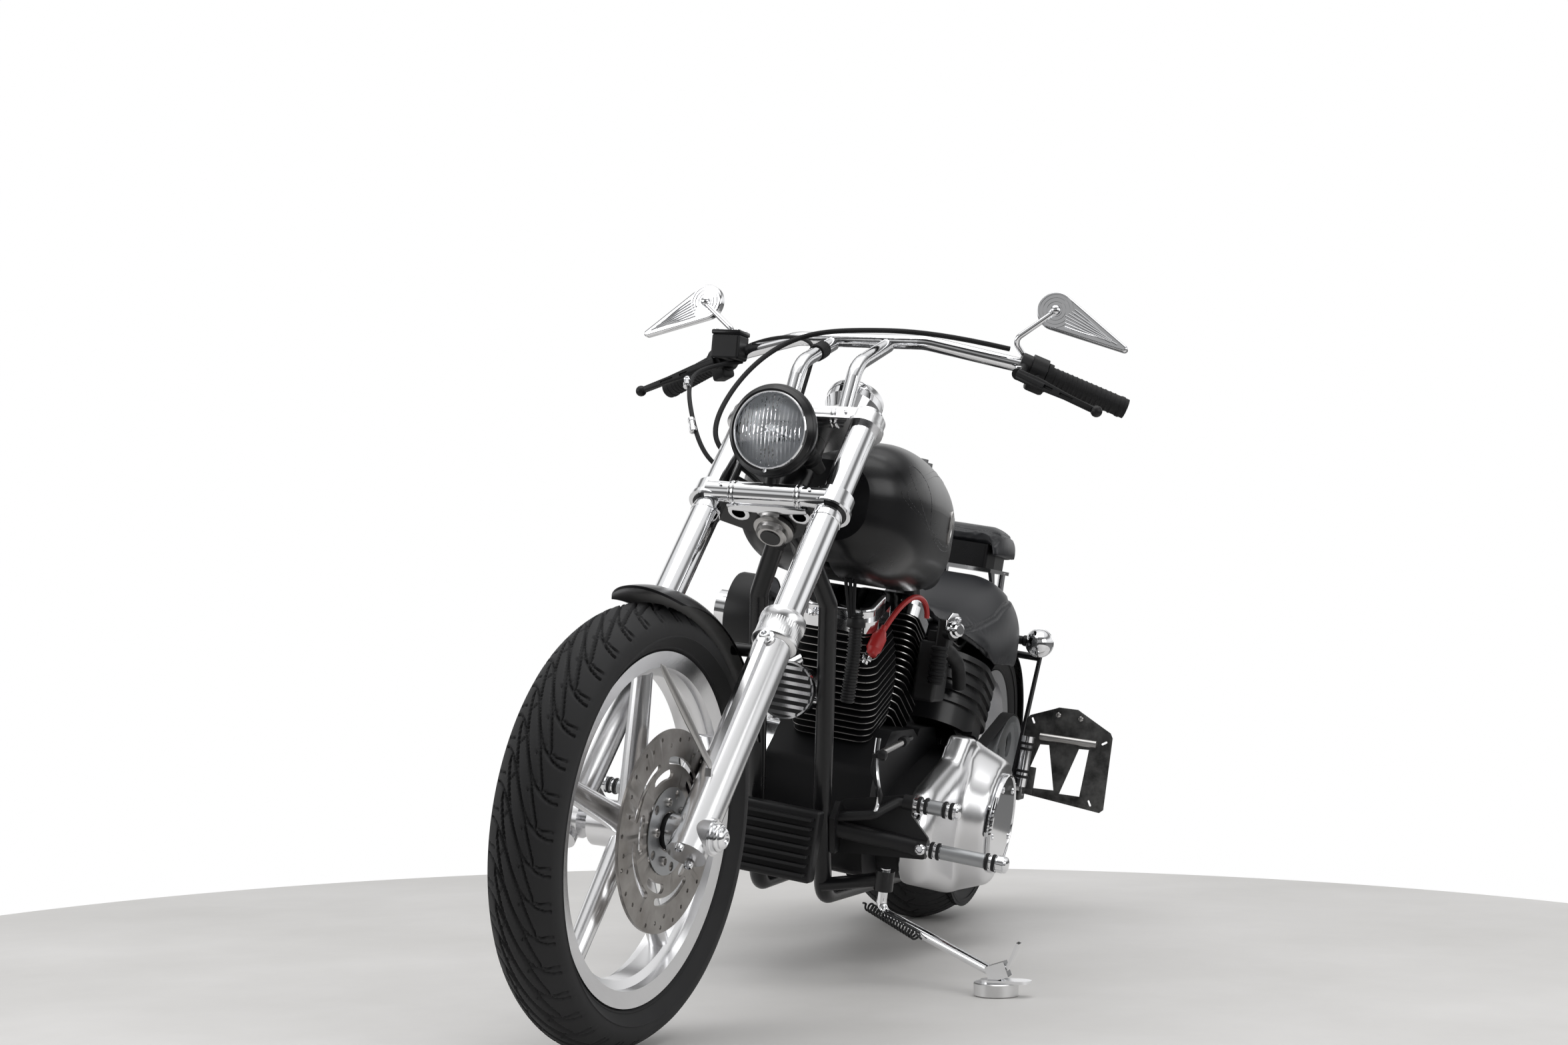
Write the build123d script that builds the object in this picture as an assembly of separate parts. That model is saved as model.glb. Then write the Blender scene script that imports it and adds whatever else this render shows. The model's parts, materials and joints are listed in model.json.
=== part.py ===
from build123d import *
from functools import cache
import math
import os

# A long, low chopper motorcycle parked on its side stand.
#
# Every piece is modelled on the bike standing upright with its steering straight:
# X points forward from the rear axle, Y to the rider's left, Z up from the ground, in millimetres.
# At the end the front end is turned, the bike is leaned onto its stand and moved to the row's origin.

# ---------------------------------------------------------------- driving dimensions
WHEELBASE = 1758.0
RAKE = 36.5                 # steering axis, degrees from vertical
FORK_ANGLE = 38.0           # fork tubes, degrees from vertical
TRAIL = 167.0
STEER = -7.3                # parked steering angle, positive to the left
LEAN = 9.9                  # parked lean, positive to the left
STEER_LOCK = 30.0           # each way from straight
ROW_ORIGIN_X = 872.0        # the row's origin, measured from the rear tyre's contact
ROW_ORIGIN_Y = 165.0

FRONT_R = 322.0             # tyre outer radius
FRONT_TYRE_W = 107.0
FRONT_SIDE = 67.0           # height of the tyre's side wall above the rim flange
FRONT_RIM_R = FRONT_R - FRONT_SIDE
FRONT_RIM_W = 74.0
REAR_R = 324.6
REAR_TYRE_W = 240.0
REAR_SIDE = 82.6
REAR_RIM_R = REAR_R - REAR_SIDE
REAR_RIM_W = 214.0
RIM_WALL = 6.0
FLANGE_H = 14.0             # height of the rim flange above the bead seat
SPOKES = 5

AXLE_R = 12.5
BORE_GAP = 0.05             # running clearance at an axle or a pin
TOUCH_GAP = 0.3             # clearance where two bodies nearly touch
SWEEP_GAP = 6.0             # least clearance round a moving piece

FORK_HALF = 106.0           # half the distance between the fork tubes
TUBE_R = 24.5
SLIDER_R = 30.0
SLIDER_TOP = 400.0          # distances along the fork leg, from the axle
SLIDER_COLLAR = 350.0
TUBE_TOP = 838.0
LOWER_CLAMP = 645.0
UPPER_CLAMP = 818.0
STEM_R = 17.0
NECK_R = 27.0
CLAMP_T = 24.0
TOP_CLAMP_T = 24.0
CLAMP_WALL = 4.5            # metal round each fork tube in a clamp
SLEEVE_R = 33.0             # chrome sleeves round the tubes at the lower clamp

DISC_R = 146.0
DISC_Y = 61.0
DISC_T = 5.0

BAR_R = 12.7
RISER_Y = 52.0
PUCK_R = 37.5
PUCK_H = 22.0

CRANK = (720.0, 300.0)      # x, z of the crankshaft
BANK = 22.5                 # each cylinder's lean from vertical
BORE_BASE = 140.0           # distances along a cylinder, from the crankshaft
CYL_TOP = 320.0
HEAD_TOP = 375.0
ROCKER_TOP = 420.0
CASE_HALF = 105.0           # half width of the crankcase

DOWNTUBE_Y = 62.0
FRAME_R = 16.0
RAIL_Z = 150.0

# ---------------------------------------------------------------- placing
steer_foot = (WHEELBASE + TRAIL, 0, 0)
steer_turn = (Pos(*steer_foot) * Rot(0, -RAKE, 0) * Rot(0, 0, STEER) * Rot(0, RAKE, 0)
              * Pos(-steer_foot[0], 0, 0))


def tyre_low(centre, axle, radius, width):
    """Lowest point of a leaning tyre whose crown is an arc as wide as the tyre."""
    crown = width / 2
    across = math.sqrt(max(0.0, 1 - axle.Z ** 2))
    return centre.Z - (radius - crown) * across - crown


def parked_at(pitch):
    return Rot(0, pitch, 0) * Rot(-LEAN, 0, 0)


def wheel_lows(pitch):
    place = parked_at(pitch)
    rear = tyre_low((place * Pos(0, 0, REAR_R)).position,
                    Vector(*((place * Pos(0, 1, 0)).position - place.position)), REAR_R, REAR_TYRE_W)
    turned = place * steer_turn
    hub = (turned * Pos(WHEELBASE, 0, FRONT_R)).position
    side = (turned * Pos(WHEELBASE, 1, FRONT_R)).position
    front = tyre_low(hub, side - hub, FRONT_R, FRONT_TYRE_W)
    return rear, front


pitch_deg = 0.0
for _ in range(4):
    rear_low, front_low = wheel_lows(pitch_deg)
    pitch_deg += math.degrees(math.atan((front_low - rear_low) / WHEELBASE))
ground = Pos(-ROW_ORIGIN_X, -ROW_ORIGIN_Y, -wheel_lows(pitch_deg)[0])
parked = ground * parked_at(pitch_deg)
steered = parked * steer_turn
upright = Location((0, 0, 0))


# ---------------------------------------------------------------- helpers
def vec(*xyz):
    return Vector(*xyz)


def rod(a, b, radius, bore=0.0):
    """A round bar or tube between two points."""
    a, b = Vector(*a), Vector(*b)
    plane = Plane(origin=a, z_dir=b - a)
    length = (b - a).length
    body = plane * Pos(0, 0, length / 2) * Cylinder(radius, length)
    if bore:
        body -= plane * Pos(0, 0, length / 2) * Cylinder(bore, length + 2)
    return body


def bent(points, radius, corner):
    """A round bar that follows straight runs joined by tangent arcs."""
    path = FilletPolyline(*points, radius=corner)
    start = Vector(*points[0])
    plane = Plane(origin=start, z_dir=Vector(*points[1]) - start)
    return sweep(plane * Circle(radius), path=path)


def slab(outline, y0, y1, radius=0.0):
    """An X-Z outline given thickness from y0 to y1."""
    face = make_face(Polyline(*outline, close=True))
    if radius:
        face = fillet(face.vertices(), radius)
    low = min(y0, y1)
    return Plane(origin=(0, low, 0), x_dir=(1, 0, 0), z_dir=(0, -1, 0)) * extrude(face, -abs(y1 - y0))


def block(centre, size, radius=0.0):
    body = Pos(*centre) * Box(*size)
    if radius:
        body = fillet(body.edges(), radius)
    return body


def spun(profile, centre, axis):
    """Revolve (radius, along) points about an axis through centre."""
    face = make_face(Polyline(*profile, close=True))
    body = revolve(face, axis=Axis.Y)
    plane = Plane(origin=centre, z_dir=axis)
    return plane * Rot(90, 0, 0) * body


def wheel_spun(face, x, z):
    return Pos(x, 0, z) * revolve(face, axis=Axis.Y)


def mirror_y(body):
    return mirror(body, about=Plane.XZ)


def both(body):
    return [body, mirror_y(body)]


def fork_point(along, y=0.0):
    a = math.radians(FORK_ANGLE)
    return (WHEELBASE - along * math.sin(a), y, FRONT_R + along * math.cos(a))


def stem_frame(point):
    """Height along the steering axis and forward offset from it, for a point."""
    r = math.radians(RAKE)
    dx, z = point[0] - steer_foot[0], point[2]
    return -dx * math.sin(r) + z * math.cos(r), dx * math.cos(r) + z * math.sin(r)


def stem_plane(height):
    """Plane square to the steering axis: local X to the right, local Y forward."""
    r = math.radians(RAKE)
    origin = (steer_foot[0] - height * math.sin(r), 0, height * math.cos(r))
    return Plane(origin=origin, x_dir=(0, -1, 0), z_dir=(-math.sin(r), 0, math.cos(r)))


def leg(bottom, top, radius, side):
    return rod(fork_point(bottom, side * FORK_HALF), fork_point(top, side * FORK_HALF), radius)


# ---------------------------------------------------------------- wheels
def tyre_half(outer, crown, widest, shoulder, lip, foot_r, bead):
    """Crown, shoulder and wall arcs of one tyre surface, from bead to bead."""
    arcs = []
    for s in (1, -1):
        arcs.append(ThreePointArc((outer, 0), (outer - (outer - shoulder) * 0.27, s * lip * 0.53), (shoulder, s * lip)))
        arcs.append(TangentArc((widest, s * crown), (shoulder, s * lip), tangent=(1, 0)))
        arcs.append(TangentArc((widest, s * crown), (foot_r, s * bead), tangent=(-1, 0)))
    return arcs


def tyre_face(outer, width, rim_r, rim_w, wall):
    crown = width / 2
    bead = rim_w / 2 - RIM_WALL
    seat_r = rim_r - FLANGE_H
    foot_r = rim_r + 1
    widest = (outer + rim_r) / 2 - 4
    shoulder = outer - crown * 0.42
    lip = crown * 0.9
    edges = tyre_half(outer, crown, widest, shoulder, lip, foot_r, bead)
    edges += tyre_half(outer - wall, crown - wall, widest, shoulder - wall, lip - wall, foot_r, bead - wall)
    for s in (1, -1):
        edges += [Line((foot_r, s * bead), (seat_r, s * bead)), Line((seat_r, s * bead), (seat_r, s * (bead - wall))),
                  Line((seat_r, s * (bead - wall)), (foot_r, s * (bead - wall)))]
    return make_face(edges)


def rim_face(rim_r, rim_w, drop):
    half = rim_w / 2
    seat = rim_r - FLANGE_H
    return make_face(Polyline(
        (rim_r, half), (rim_r, half - RIM_WALL), (seat, half - RIM_WALL), (seat, half * 0.55),
        (seat - drop, half * 0.4), (seat - drop, -half * 0.4), (seat, -half * 0.55),
        (seat, -half + RIM_WALL), (rim_r, -half + RIM_WALL), (rim_r, -half),
        (seat - RIM_WALL - 4, -half + 4), (seat - RIM_WALL - 4, -half * 0.5),
        (seat - drop - RIM_WALL, -half * 0.36), (seat - drop - RIM_WALL, half * 0.36),
        (seat - RIM_WALL - 4, half * 0.5), (seat - RIM_WALL - 4, half - 4), close=True))


def spoke_wheel(x, z, rim_r, rim_w, drop, hub_r, hub_w, root, tip):
    """A cast wheel: rim, hub and round tapered spokes, with a running bore for its axle."""
    inner = rim_r - FLANGE_H - drop - RIM_WALL
    body = revolve(rim_face(rim_r, rim_w, drop), axis=Axis.Y)
    body += Rot(90, 0, 0) * Cylinder(hub_r, hub_w)
    reach = inner + 3 - hub_r * 0.5
    for k in range(SPOKES):
        spoke = Pos(0, 0, hub_r * 0.5 + reach / 2) * Cone(root, tip, reach)
        body += Rot(0, 360 / SPOKES * k, 0) * spoke
    body -= Rot(90, 0, 0) * Cylinder(AXLE_R + BORE_GAP, hub_w + 40)
    return Pos(x, 0, z) * body


def front_tyre():
    return wheel_spun(tyre_face(FRONT_R, FRONT_TYRE_W, FRONT_RIM_R, FRONT_RIM_W, 9), WHEELBASE, FRONT_R)


def rear_tyre():
    return wheel_spun(tyre_face(REAR_R, REAR_TYRE_W, REAR_RIM_R, REAR_RIM_W, 11), 0, REAR_R)


def front_wheel():
    return spoke_wheel(WHEELBASE, FRONT_R, FRONT_RIM_R, FRONT_RIM_W, 16, 34, 104, 19, 15)


def rear_wheel():
    return spoke_wheel(0, REAR_R, REAR_RIM_R, REAR_RIM_W, 18, 48, 200, 30, 23)


def front_brake_disc():
    """Slotted braking ring on a five-arm carrier."""
    plane = Plane(origin=(WHEELBASE, DISC_Y, FRONT_R), z_dir=(0, 1, 0), x_dir=(1, 0, 0))
    ring = Cylinder(DISC_R, DISC_T) - Cylinder(DISC_R - 34, DISC_T + 2)
    slots = [Rot(0, 0, 360 / 15 * k) * Pos(DISC_R - 17, 0, 0) * Rot(0, 0, 32) * Box(22, 5, DISC_T + 2)
             for k in range(15)]
    ring -= slots
    carrier = Cylinder(48, DISC_T) - Cylinder(AXLE_R + BORE_GAP, DISC_T + 2)
    for k in range(SPOKES):
        carrier += Rot(0, 0, 360 / SPOKES * k) * Pos(78, 0, 0) * Box(74, 15, DISC_T)
    return plane * (ring + carrier)


# ---------------------------------------------------------------- fork and steering
def front_axle():
    face = FORK_HALF + SLIDER_R + 2
    axle = rod((WHEELBASE, -face, FRONT_R), (WHEELBASE, face, FRONT_R), AXLE_R)
    for s in (-1, 1):
        axle += rod((WHEELBASE, s * face, FRONT_R), (WHEELBASE, s * (face + 12), FRONT_R), 20)
    return fillet(axle.edges().filter_by(GeomType.CIRCLE).filter_by(lambda e: abs(e.radius - 20) < 0.1), 4)


def fork_tubes():
    return [leg(SLIDER_COLLAR - 90, TUBE_TOP, TUBE_R, s) for s in (-1, 1)]


@cache
def fork_sliders():
    """Polished lower legs: a collar at the top, a long flute fin towards the wheel, the axle boss below."""
    legs = []
    for s in (-1, 1):
        body = leg(-34, SLIDER_TOP - 10, SLIDER_R, s)
        body += leg(SLIDER_COLLAR, SLIDER_TOP, SLIDER_R + 5, s)
        a = math.radians(FORK_ANGLE)
        plane = Plane(origin=fork_point(0, s * FORK_HALF), x_dir=(math.cos(a), 0, math.sin(a)),
                      z_dir=(-math.sin(a), 0, math.cos(a)))
        fin = make_face(Polyline((0, 40), (37, 90), (41, 330), (0, 360), close=True))
        body += plane * Plane.XZ * Pos(0, 0, -5) * extrude(fin, 10)
        body += plane * Plane.XZ * Pos(0, 0, -5) * mirror(extrude(fin, 10), about=Plane.YZ)
        body += rod((WHEELBASE, s * (FORK_HALF - 34), FRONT_R), (WHEELBASE, s * (FORK_HALF + SLIDER_R + 2), FRONT_R), 27)
        body -= leg(SLIDER_COLLAR - 90, TUBE_TOP, TUBE_R, s)
        body -= rod((WHEELBASE, -150, FRONT_R), (WHEELBASE, 150, FRONT_R), AXLE_R)
        legs.append(body)
    return legs


def clamp_plate(along, thick, tube_boss, stem_boss, shift=0.0):
    height, forward = stem_frame(fork_point(along))
    circles = [Pos(x, forward) * Circle(tube_boss) for x in (-FORK_HALF, FORK_HALF)] + [Circle(stem_boss)]
    face = make_hull([e for c in circles for e in c.edges()])
    plane = stem_plane(height + shift)
    body = plane * Pos(0, 0, -thick / 2) * extrude(face, thick)
    return body


@cache
def lower_triple_clamp():
    """Stamped yoke under the steering head, with its stem and the bearing cup below."""
    body = clamp_plate(LOWER_CLAMP, CLAMP_T, TUBE_R + CLAMP_WALL, 38, -CLAMP_T / 2 - 1)
    height, forward = stem_frame(fork_point(LOWER_CLAMP))
    under = stem_plane(height - 1 - CLAMP_T)
    for s in (-1, 1):
        body += under * Pos(s * 54, forward * 0.8, -1.5) * Cylinder(16, 5)
        body -= under * Pos(s * 54, forward * 0.8, 6) * Cylinder(12, 24)
    body += under * Pos(0, 0, -4) * Cylinder(32, 10)
    body += under * Pos(0, 0, -12) * Cylinder(25, 12)
    top, _ = stem_frame(fork_point(UPPER_CLAMP))
    body += stem_plane(height - 52) * Pos(0, 0, (top - height + 70) / 2) * Cylinder(STEM_R, top - height + 70)
    for s in (-1, 1):
        body -= leg(LOWER_CLAMP - 80, LOWER_CLAMP + 80, TUBE_R, s)
    return body


def clamp_bar(along, shift, ahead, radius):
    """Round bar across the fork in three lengths, the middle one a little thicker."""
    height, forward = stem_frame(fork_point(along))
    plane = stem_plane(height + shift) * Pos(0, forward + ahead, 0)
    body = plane * Rot(0, 90, 0) * Cylinder(radius, 2 * FORK_HALF)
    body += plane * Rot(0, 90, 0) * Cylinder(radius + 1.5, FORK_HALF * 1.1)
    return body


def clamp_sleeves(low, high, radius):
    """A sleeve round each fork tube with a lip at its lower end."""
    body = Part()
    for s in (-1, 1):
        body += leg(low, high, radius, s) + leg(low, low + 7, radius + 2.5, s)
        body += Pos(*fork_point(high, s * FORK_HALF)) * Rot(0, -FORK_ANGLE, 0) * Cone(radius, radius - 7, 9)
    return body


@cache
def fork_bracket_cover():
    """Chrome cover of the lower clamp: a bar across the front between two sleeves."""
    body = clamp_bar(LOWER_CLAMP, 1 - CLAMP_T / 2, 21, 17) + clamp_sleeves(LOWER_CLAMP - 24, LOWER_CLAMP + 8, SLEEVE_R)
    for s in (-1, 1):
        body -= leg(LOWER_CLAMP - 80, LOWER_CLAMP + 80, TUBE_R, s)
    height, _ = stem_frame(fork_point(LOWER_CLAMP))
    body -= stem_plane(height) * Cylinder(NECK_R + SWEEP_GAP + 1, 120)
    body -= lower_triple_clamp()
    return max(body.solids(), key=lambda solid: solid.volume)


@cache
def upper_triple_clamp():
    """Polished upper clamp: a plate behind a round bar that ends in sleeves."""
    body = clamp_plate(UPPER_CLAMP, TOP_CLAMP_T, TUBE_R + CLAMP_WALL, 30)
    body += clamp_bar(UPPER_CLAMP, 0, 14, 15) + clamp_sleeves(UPPER_CLAMP - 16, UPPER_CLAMP + 10, SLEEVE_R - 2)
    height, _ = stem_frame(fork_point(UPPER_CLAMP))
    for s in (-1, 1):
        body -= leg(UPPER_CLAMP - 60, TUBE_TOP, TUBE_R, s)
    body -= stem_plane(height - 60) * Cylinder(STEM_R, 120 + 30)
    return body


def ahead(behind_axle, y, z):
    """A point on the upright front end, placed by its distance behind the front axle."""
    return (WHEELBASE - behind_axle, y, z)


BAR_CORNER = ahead(706.0, 120.0, 1135.0)
BAR_BEND = ahead(773.0, 285.0, 1108.0)
BAR_END = ahead(851.0, 440.0, 1053.0)


def side_point(point, side):
    return (point[0], side * point[1], point[2])


def riser_base():
    height, forward = stem_frame(fork_point(UPPER_CLAMP))
    return (stem_plane(height + TOP_CLAMP_T / 2) * Pos(RISER_Y, forward * 0.45, 0)).position


@cache
def handlebar():
    """One-piece bar on two swept risers."""
    points = [side_point(p, 1) for p in (BAR_END, BAR_BEND, BAR_CORNER)]
    points += [side_point(p, -1) for p in (BAR_CORNER, BAR_BEND, BAR_END)]
    body = bent(points, BAR_R, 45)
    foot = riser_base()
    for s in (-1, 1):
        base = (foot.X, s * RISER_Y, foot.Z)
        body += bent([base, ahead(572, s * RISER_Y, 1074), ahead(703, s * RISER_Y, 1127)], BAR_R, 60)
        body += rod(base, (base[0] - 11, base[1], base[2] + 15), BAR_R + 5)
    return body - upper_triple_clamp()


def bar_direction():
    return (Vector(*BAR_END) - Vector(*BAR_BEND)).normalized()


def on_bar(distance, side=1):
    """A point on the bar's outer run, measured from its bend."""
    p = Vector(*BAR_BEND) + bar_direction() * distance
    return (p.X, side * p.Y, p.Z)


GRIP_START = 36.0
GRIP_R = 17.5
GRIP_CAP = 5.0


def grips():
    """Rubber grips with an inner flange, closed over the bar's ends."""
    length = (Vector(*BAR_END) - Vector(*BAR_BEND)).length
    made = []
    for s in (-1, 1):
        grip = rod(on_bar(GRIP_START, s), on_bar(length + GRIP_CAP, s), GRIP_R)
        grip += rod(on_bar(GRIP_START, s), on_bar(GRIP_START + 8, s), GRIP_R + 4)
        made.append(grip - rod(on_bar(0, s), on_bar(length, s), BAR_R))
    return made


LEVER_BALL = ahead(718.0, 432.0, 1030.0)
LEVER_PIVOT = ahead(722.0, 288.0, 1088.0)


def lever_and_perch(side):
    pivot, ball = Vector(*LEVER_PIVOT), Vector(*LEVER_BALL)
    body = rod(on_bar(-14), on_bar(8), BAR_R + 9)
    body += rod(on_bar(-4), LEVER_PIVOT, 11)
    body += rod(LEVER_PIVOT, tuple(pivot + (ball - pivot) * 0.35), 10)
    body += rod(tuple(pivot + (ball - pivot) * 0.3), LEVER_BALL, 6)
    body += Pos(*LEVER_BALL) * Sphere(10)
    if side < 0:
        body = mirror_y(body)
    return body


@cache
def left_controls():
    """Switch housing, clutch perch and lever."""
    body = lever_and_perch(1)
    body += rod(on_bar(6), on_bar(34), BAR_R + 13)
    return body - handlebar()


@cache
def right_controls():
    """Switch housing, brake master cylinder and lever."""
    body = lever_and_perch(-1)
    body += rod(on_bar(6, -1), on_bar(34, -1), BAR_R + 13)
    centre = Vector(*on_bar(-8, -1)) + Vector(34, 10, 8)
    body += block(tuple(centre), (44, 56, 46), 5)
    return body - handlebar()


MIRROR_EYE = ahead(762.0, 334.0, 1204.0)
MIRROR_TIP = ahead(768.0, 462.0, 1141.0)
MIRROR_R = 33.0


def mirrors():
    """Teardrop mirrors on round stems."""
    made = []
    eye, tip = Vector(*MIRROR_EYE), Vector(*MIRROR_TIP)
    along = (tip - eye).normalized()
    plane = Plane(origin=eye, x_dir=along, z_dir=(1, 0.12, 0.1))
    reach = (tip - eye).length
    face = make_hull([e for c in (Circle(MIRROR_R), Pos(reach - 6, 0) * Circle(6)) for e in c.edges()])
    head = plane * Pos(0, 0, -8) * extrude(face, 16)
    head = fillet(head.edges(), 4)
    base = Vector(*on_bar(-6)) + Vector(6, 0, BAR_R + 6)
    stem = bent([tuple(base), ahead(746, 268, 1150), tuple(eye + Vector(9, -2, -4))], 5, 14)
    left, right = both(head + stem)
    return [left - left_controls(), right - right_controls()]


LAMP = ahead(362.0, 0.0, 937.0)
LAMP_R = 75.0


def headlamp_shell():
    """Black bucket with a rolled rim and the post that carries it."""
    profile = [(LAMP_R - 11, 3), (LAMP_R - 8, 4), (LAMP_R - 2, -3), (LAMP_R, -11), (LAMP_R - 2, -19), (LAMP_R - 7, -26),
               (LAMP_R - 10, -44), (54, -70), (32, -86), (0, -90), (0, -86), (30, -82), (50, -66),
               (LAMP_R - 14, -42), (LAMP_R - 11, -24)]
    body = spun(profile, LAMP, (1, 0, 0))
    body += rod((LAMP[0] - 20, 0, LAMP[2] - LAMP_R + 8), (LAMP[0] - 20, 0, LAMP[2] - LAMP_R - 40), 13)
    body = (body - fork_bracket_cover()) - lower_triple_clamp()
    return max(body.solids(), key=lambda solid: solid.volume)


def headlamp_lens():
    edge = LAMP_R - 11 - TOUCH_GAP
    return spun([(0, 9), (30, 7), (50, 3), (edge, -2), (edge, -6), (50, -1), (30, 3), (0, 5)], LAMP, (1, 0, 0))


GAUGE = ahead(696.0, 0.0, 1012.0)
GAUGE_R = 50.0


def speedometer():
    """Round instrument in a chrome cup on an arm from the upper clamp."""
    axis = (-0.55, 0, 0.83)
    body = spun([(0, 22), (GAUGE_R - 4, 22), (GAUGE_R, 18), (GAUGE_R, 0), (GAUGE_R - 9, -24), (24, -34), (0, -36)],
                GAUGE, axis)
    body += rod((GAUGE[0] + 10, 0, GAUGE[2] - 18), fork_point(UPPER_CLAMP), 9)
    body = (body - upper_triple_clamp()) - lower_triple_clamp()
    return max(body.solids(), key=lambda solid: solid.volume)


def arc_shell(x, z, inner, thick, half, skirt, start, end):
    """A mudguard: a rounded band swept about a wheel's axle, angles in degrees forward of straight up."""
    outer = inner + thick
    edges = [ThreePointArc((inner - skirt, -half), (outer, 0), (inner - skirt, half)),
             Line((inner - skirt, half), (inner - skirt, half - thick)),
             ThreePointArc((inner - skirt, half - thick), (inner, 0), (inner - skirt, thick - half)),
             Line((inner - skirt, thick - half), (inner - skirt, -half))]
    body = revolve(make_face(edges), axis=Axis.Y, revolution_arc=end - start)
    turn = -90 + (start if body.bounding_box().max.Z <= 1 else end)
    return Pos(x, 0, z) * Rot(0, turn, 0) * body


def round_tip(x, z, outer, half, end):
    """What is cut from a mudguard's front end to leave it round."""
    plane = Pos(x, 0, z) * Rot(0, end, 0) * Pos(0, 0, outer - 30)
    square = Pos(2 * half, 0, 0) * Box(4 * half, 4 * half, 160)
    return plane * Pos(-half, 0, 0) * (square - Cylinder(half, 200))


FENDER_BOLT = 334.0         # the fender's bolts, along the leg from the axle
FENDER_FRONT = 8.0          # degrees forward of straight up


def front_fender():
    """Short mudguard with stays to the lower legs."""
    half = FRONT_TYRE_W / 2 + 8
    body = arc_shell(WHEELBASE, FRONT_R, FRONT_R + 22, 4, half, 22, -68, FENDER_FRONT)
    body -= round_tip(WHEELBASE, FRONT_R, FRONT_R + 26, half + 2, FENDER_FRONT)
    for s in (-1, 1):
        here = fork_point(FENDER_BOLT, s * (FRONT_TYRE_W / 2 - 10))
        there = fork_point(FENDER_BOLT, s * FORK_HALF)
        body += rod(here, there, 10)
    for s in (-1, 1):
        body -= fork_sliders()[(s + 1) // 2]
    return max(body.solids(), key=lambda solid: solid.volume)


@cache
def front_brake_caliper():
    """Two-piece caliper that straddles the disc behind the left leg."""
    body = block((0, 0, 0), (62, 56, 104), 8)
    centre = (WHEELBASE - 112, DISC_Y, FRONT_R + 78)
    body = Pos(*centre) * Rot(0, -FORK_ANGLE, 0) * body
    gap = Plane(origin=(WHEELBASE, DISC_Y, FRONT_R), z_dir=(0, 1, 0)) * Cylinder(DISC_R + 5, DISC_T + 10)
    body -= gap
    for along in (95, 150):
        p = fork_point(along, FORK_HALF)
        body += rod((p[0] - 62, FORK_HALF - 22, p[2] - 20), (p[0] - 22, FORK_HALF - 10, p[2] - 12), 9)
    return (body - fork_sliders()[1]) - gap


def steering_cables():
    """Clutch, throttle and brake lines from the bar to the lower clamp, and the hose down to the caliper."""
    low, _ = stem_frame(fork_point(LOWER_CLAMP))
    plate = stem_plane(low - 1)
    clutch_end = (plate * Pos(42, -1, 0)).position
    brake_end = (plate * Pos(62, 6, 0)).position
    clutch = bent([ahead(744, 262, 1134), ahead(678, 150, 1150), ahead(672, 30, 1150), ahead(666, -92, 1142),
                   ahead(598, -146, 1080), ahead(518, -166, 990), ahead(472, -160, 920), ahead(488, -104, 884),
                   ahead(460, -46, 852), tuple(clutch_end)], 4.5, 18)
    brake = bent([ahead(754, -250, 1096), ahead(668, -286, 1074), ahead(578, -268, 1040), ahead(508, -222, 980),
                  ahead(458, -162, 884), ahead(496, -96, 862), ahead(466, -66, 846), tuple(brake_end)], 4, 16)
    back = math.radians(FORK_ANGLE)
    run = []
    for along, behind, y in ((LOWER_CLAMP - 10, 40, 80), (LOWER_CLAMP - 60, 44, 80), (LOWER_CLAMP - 130, 46, 86),
                             (300, 48, 96), (190, 44, 88)):
        p = fork_point(along)
        run.append((p[0] - behind * math.cos(back), y, p[2] - behind * math.sin(back)))
    hose = bent(run, 4, 40)
    made = []
    for line in (clutch, brake, hose):
        for neighbour in (lower_triple_clamp(), left_controls(), right_controls(), front_brake_caliper()):
            line -= neighbour
        made.append(max(line.solids(), key=lambda solid: solid.volume))
    return made


# ---------------------------------------------------------------- frame and rear
def neck_ends():
    r = math.radians(RAKE)
    low, _ = stem_frame(fork_point(LOWER_CLAMP))
    high, _ = stem_frame(fork_point(UPPER_CLAMP))
    return (stem_plane(low - 1 + TOUCH_GAP).origin, stem_plane(high - TOP_CLAMP_T / 2 - TOUCH_GAP).origin)


FRAME_TOP = 742.0
DOWNTUBE_FOOT = (1010.0, 285.0)
SPINE_R = 24.0
SEAT_POST_X = 385.0
UPRIGHT_Y = 86.0
SEAT_RAIL_Y = 72.0
PIVOT = (368.0, 318.0)      # x, z of the swingarm pivot
ARM_Y = 188.0
ARM_T = 18.0


def spine_points():
    low, _ = neck_ends()
    return [(low.X - 28, 0, low.Z + 36), (low.X - 189, 0, FRAME_TOP + 4), (480, 0, FRAME_TOP), (SEAT_POST_X, 0, 640)]


def downtube_top():
    low, _ = neck_ends()
    return (low.X - 143, 0, 672)


def downtube_x(z):
    """How far forward the downtubes are at a height."""
    top = downtube_top()
    return DOWNTUBE_FOOT[0] + (z - DOWNTUBE_FOOT[1]) * (top[0] - DOWNTUBE_FOOT[0]) / (top[2] - DOWNTUBE_FOOT[1])


def spine(radius):
    return bent(spine_points(), radius, 60)


def pivot_tube(radius):
    return rod((PIVOT[0], -ARM_Y, PIVOT[1]), (PIVOT[0], ARM_Y, PIVOT[1]), radius)


def stand_point(along):
    return Vector(*STAND_PIVOT) + Vector(*STAND_AXIS).normalized() * along


def stand_bracket():
    """Arm from the left lower rail to the sleeve that the side stand turns in."""
    arm = rod((952, DOWNTUBE_Y, RAIL_Z + 22), tuple(stand_point(30)), 12)
    sleeve = rod(tuple(stand_point(10)), tuple(stand_point(46)), STAND_R + 8)
    bore = rod(tuple(stand_point(-5)), tuple(stand_point(60)), STAND_R + BORE_GAP)
    return (arm + sleeve) - bore


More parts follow.
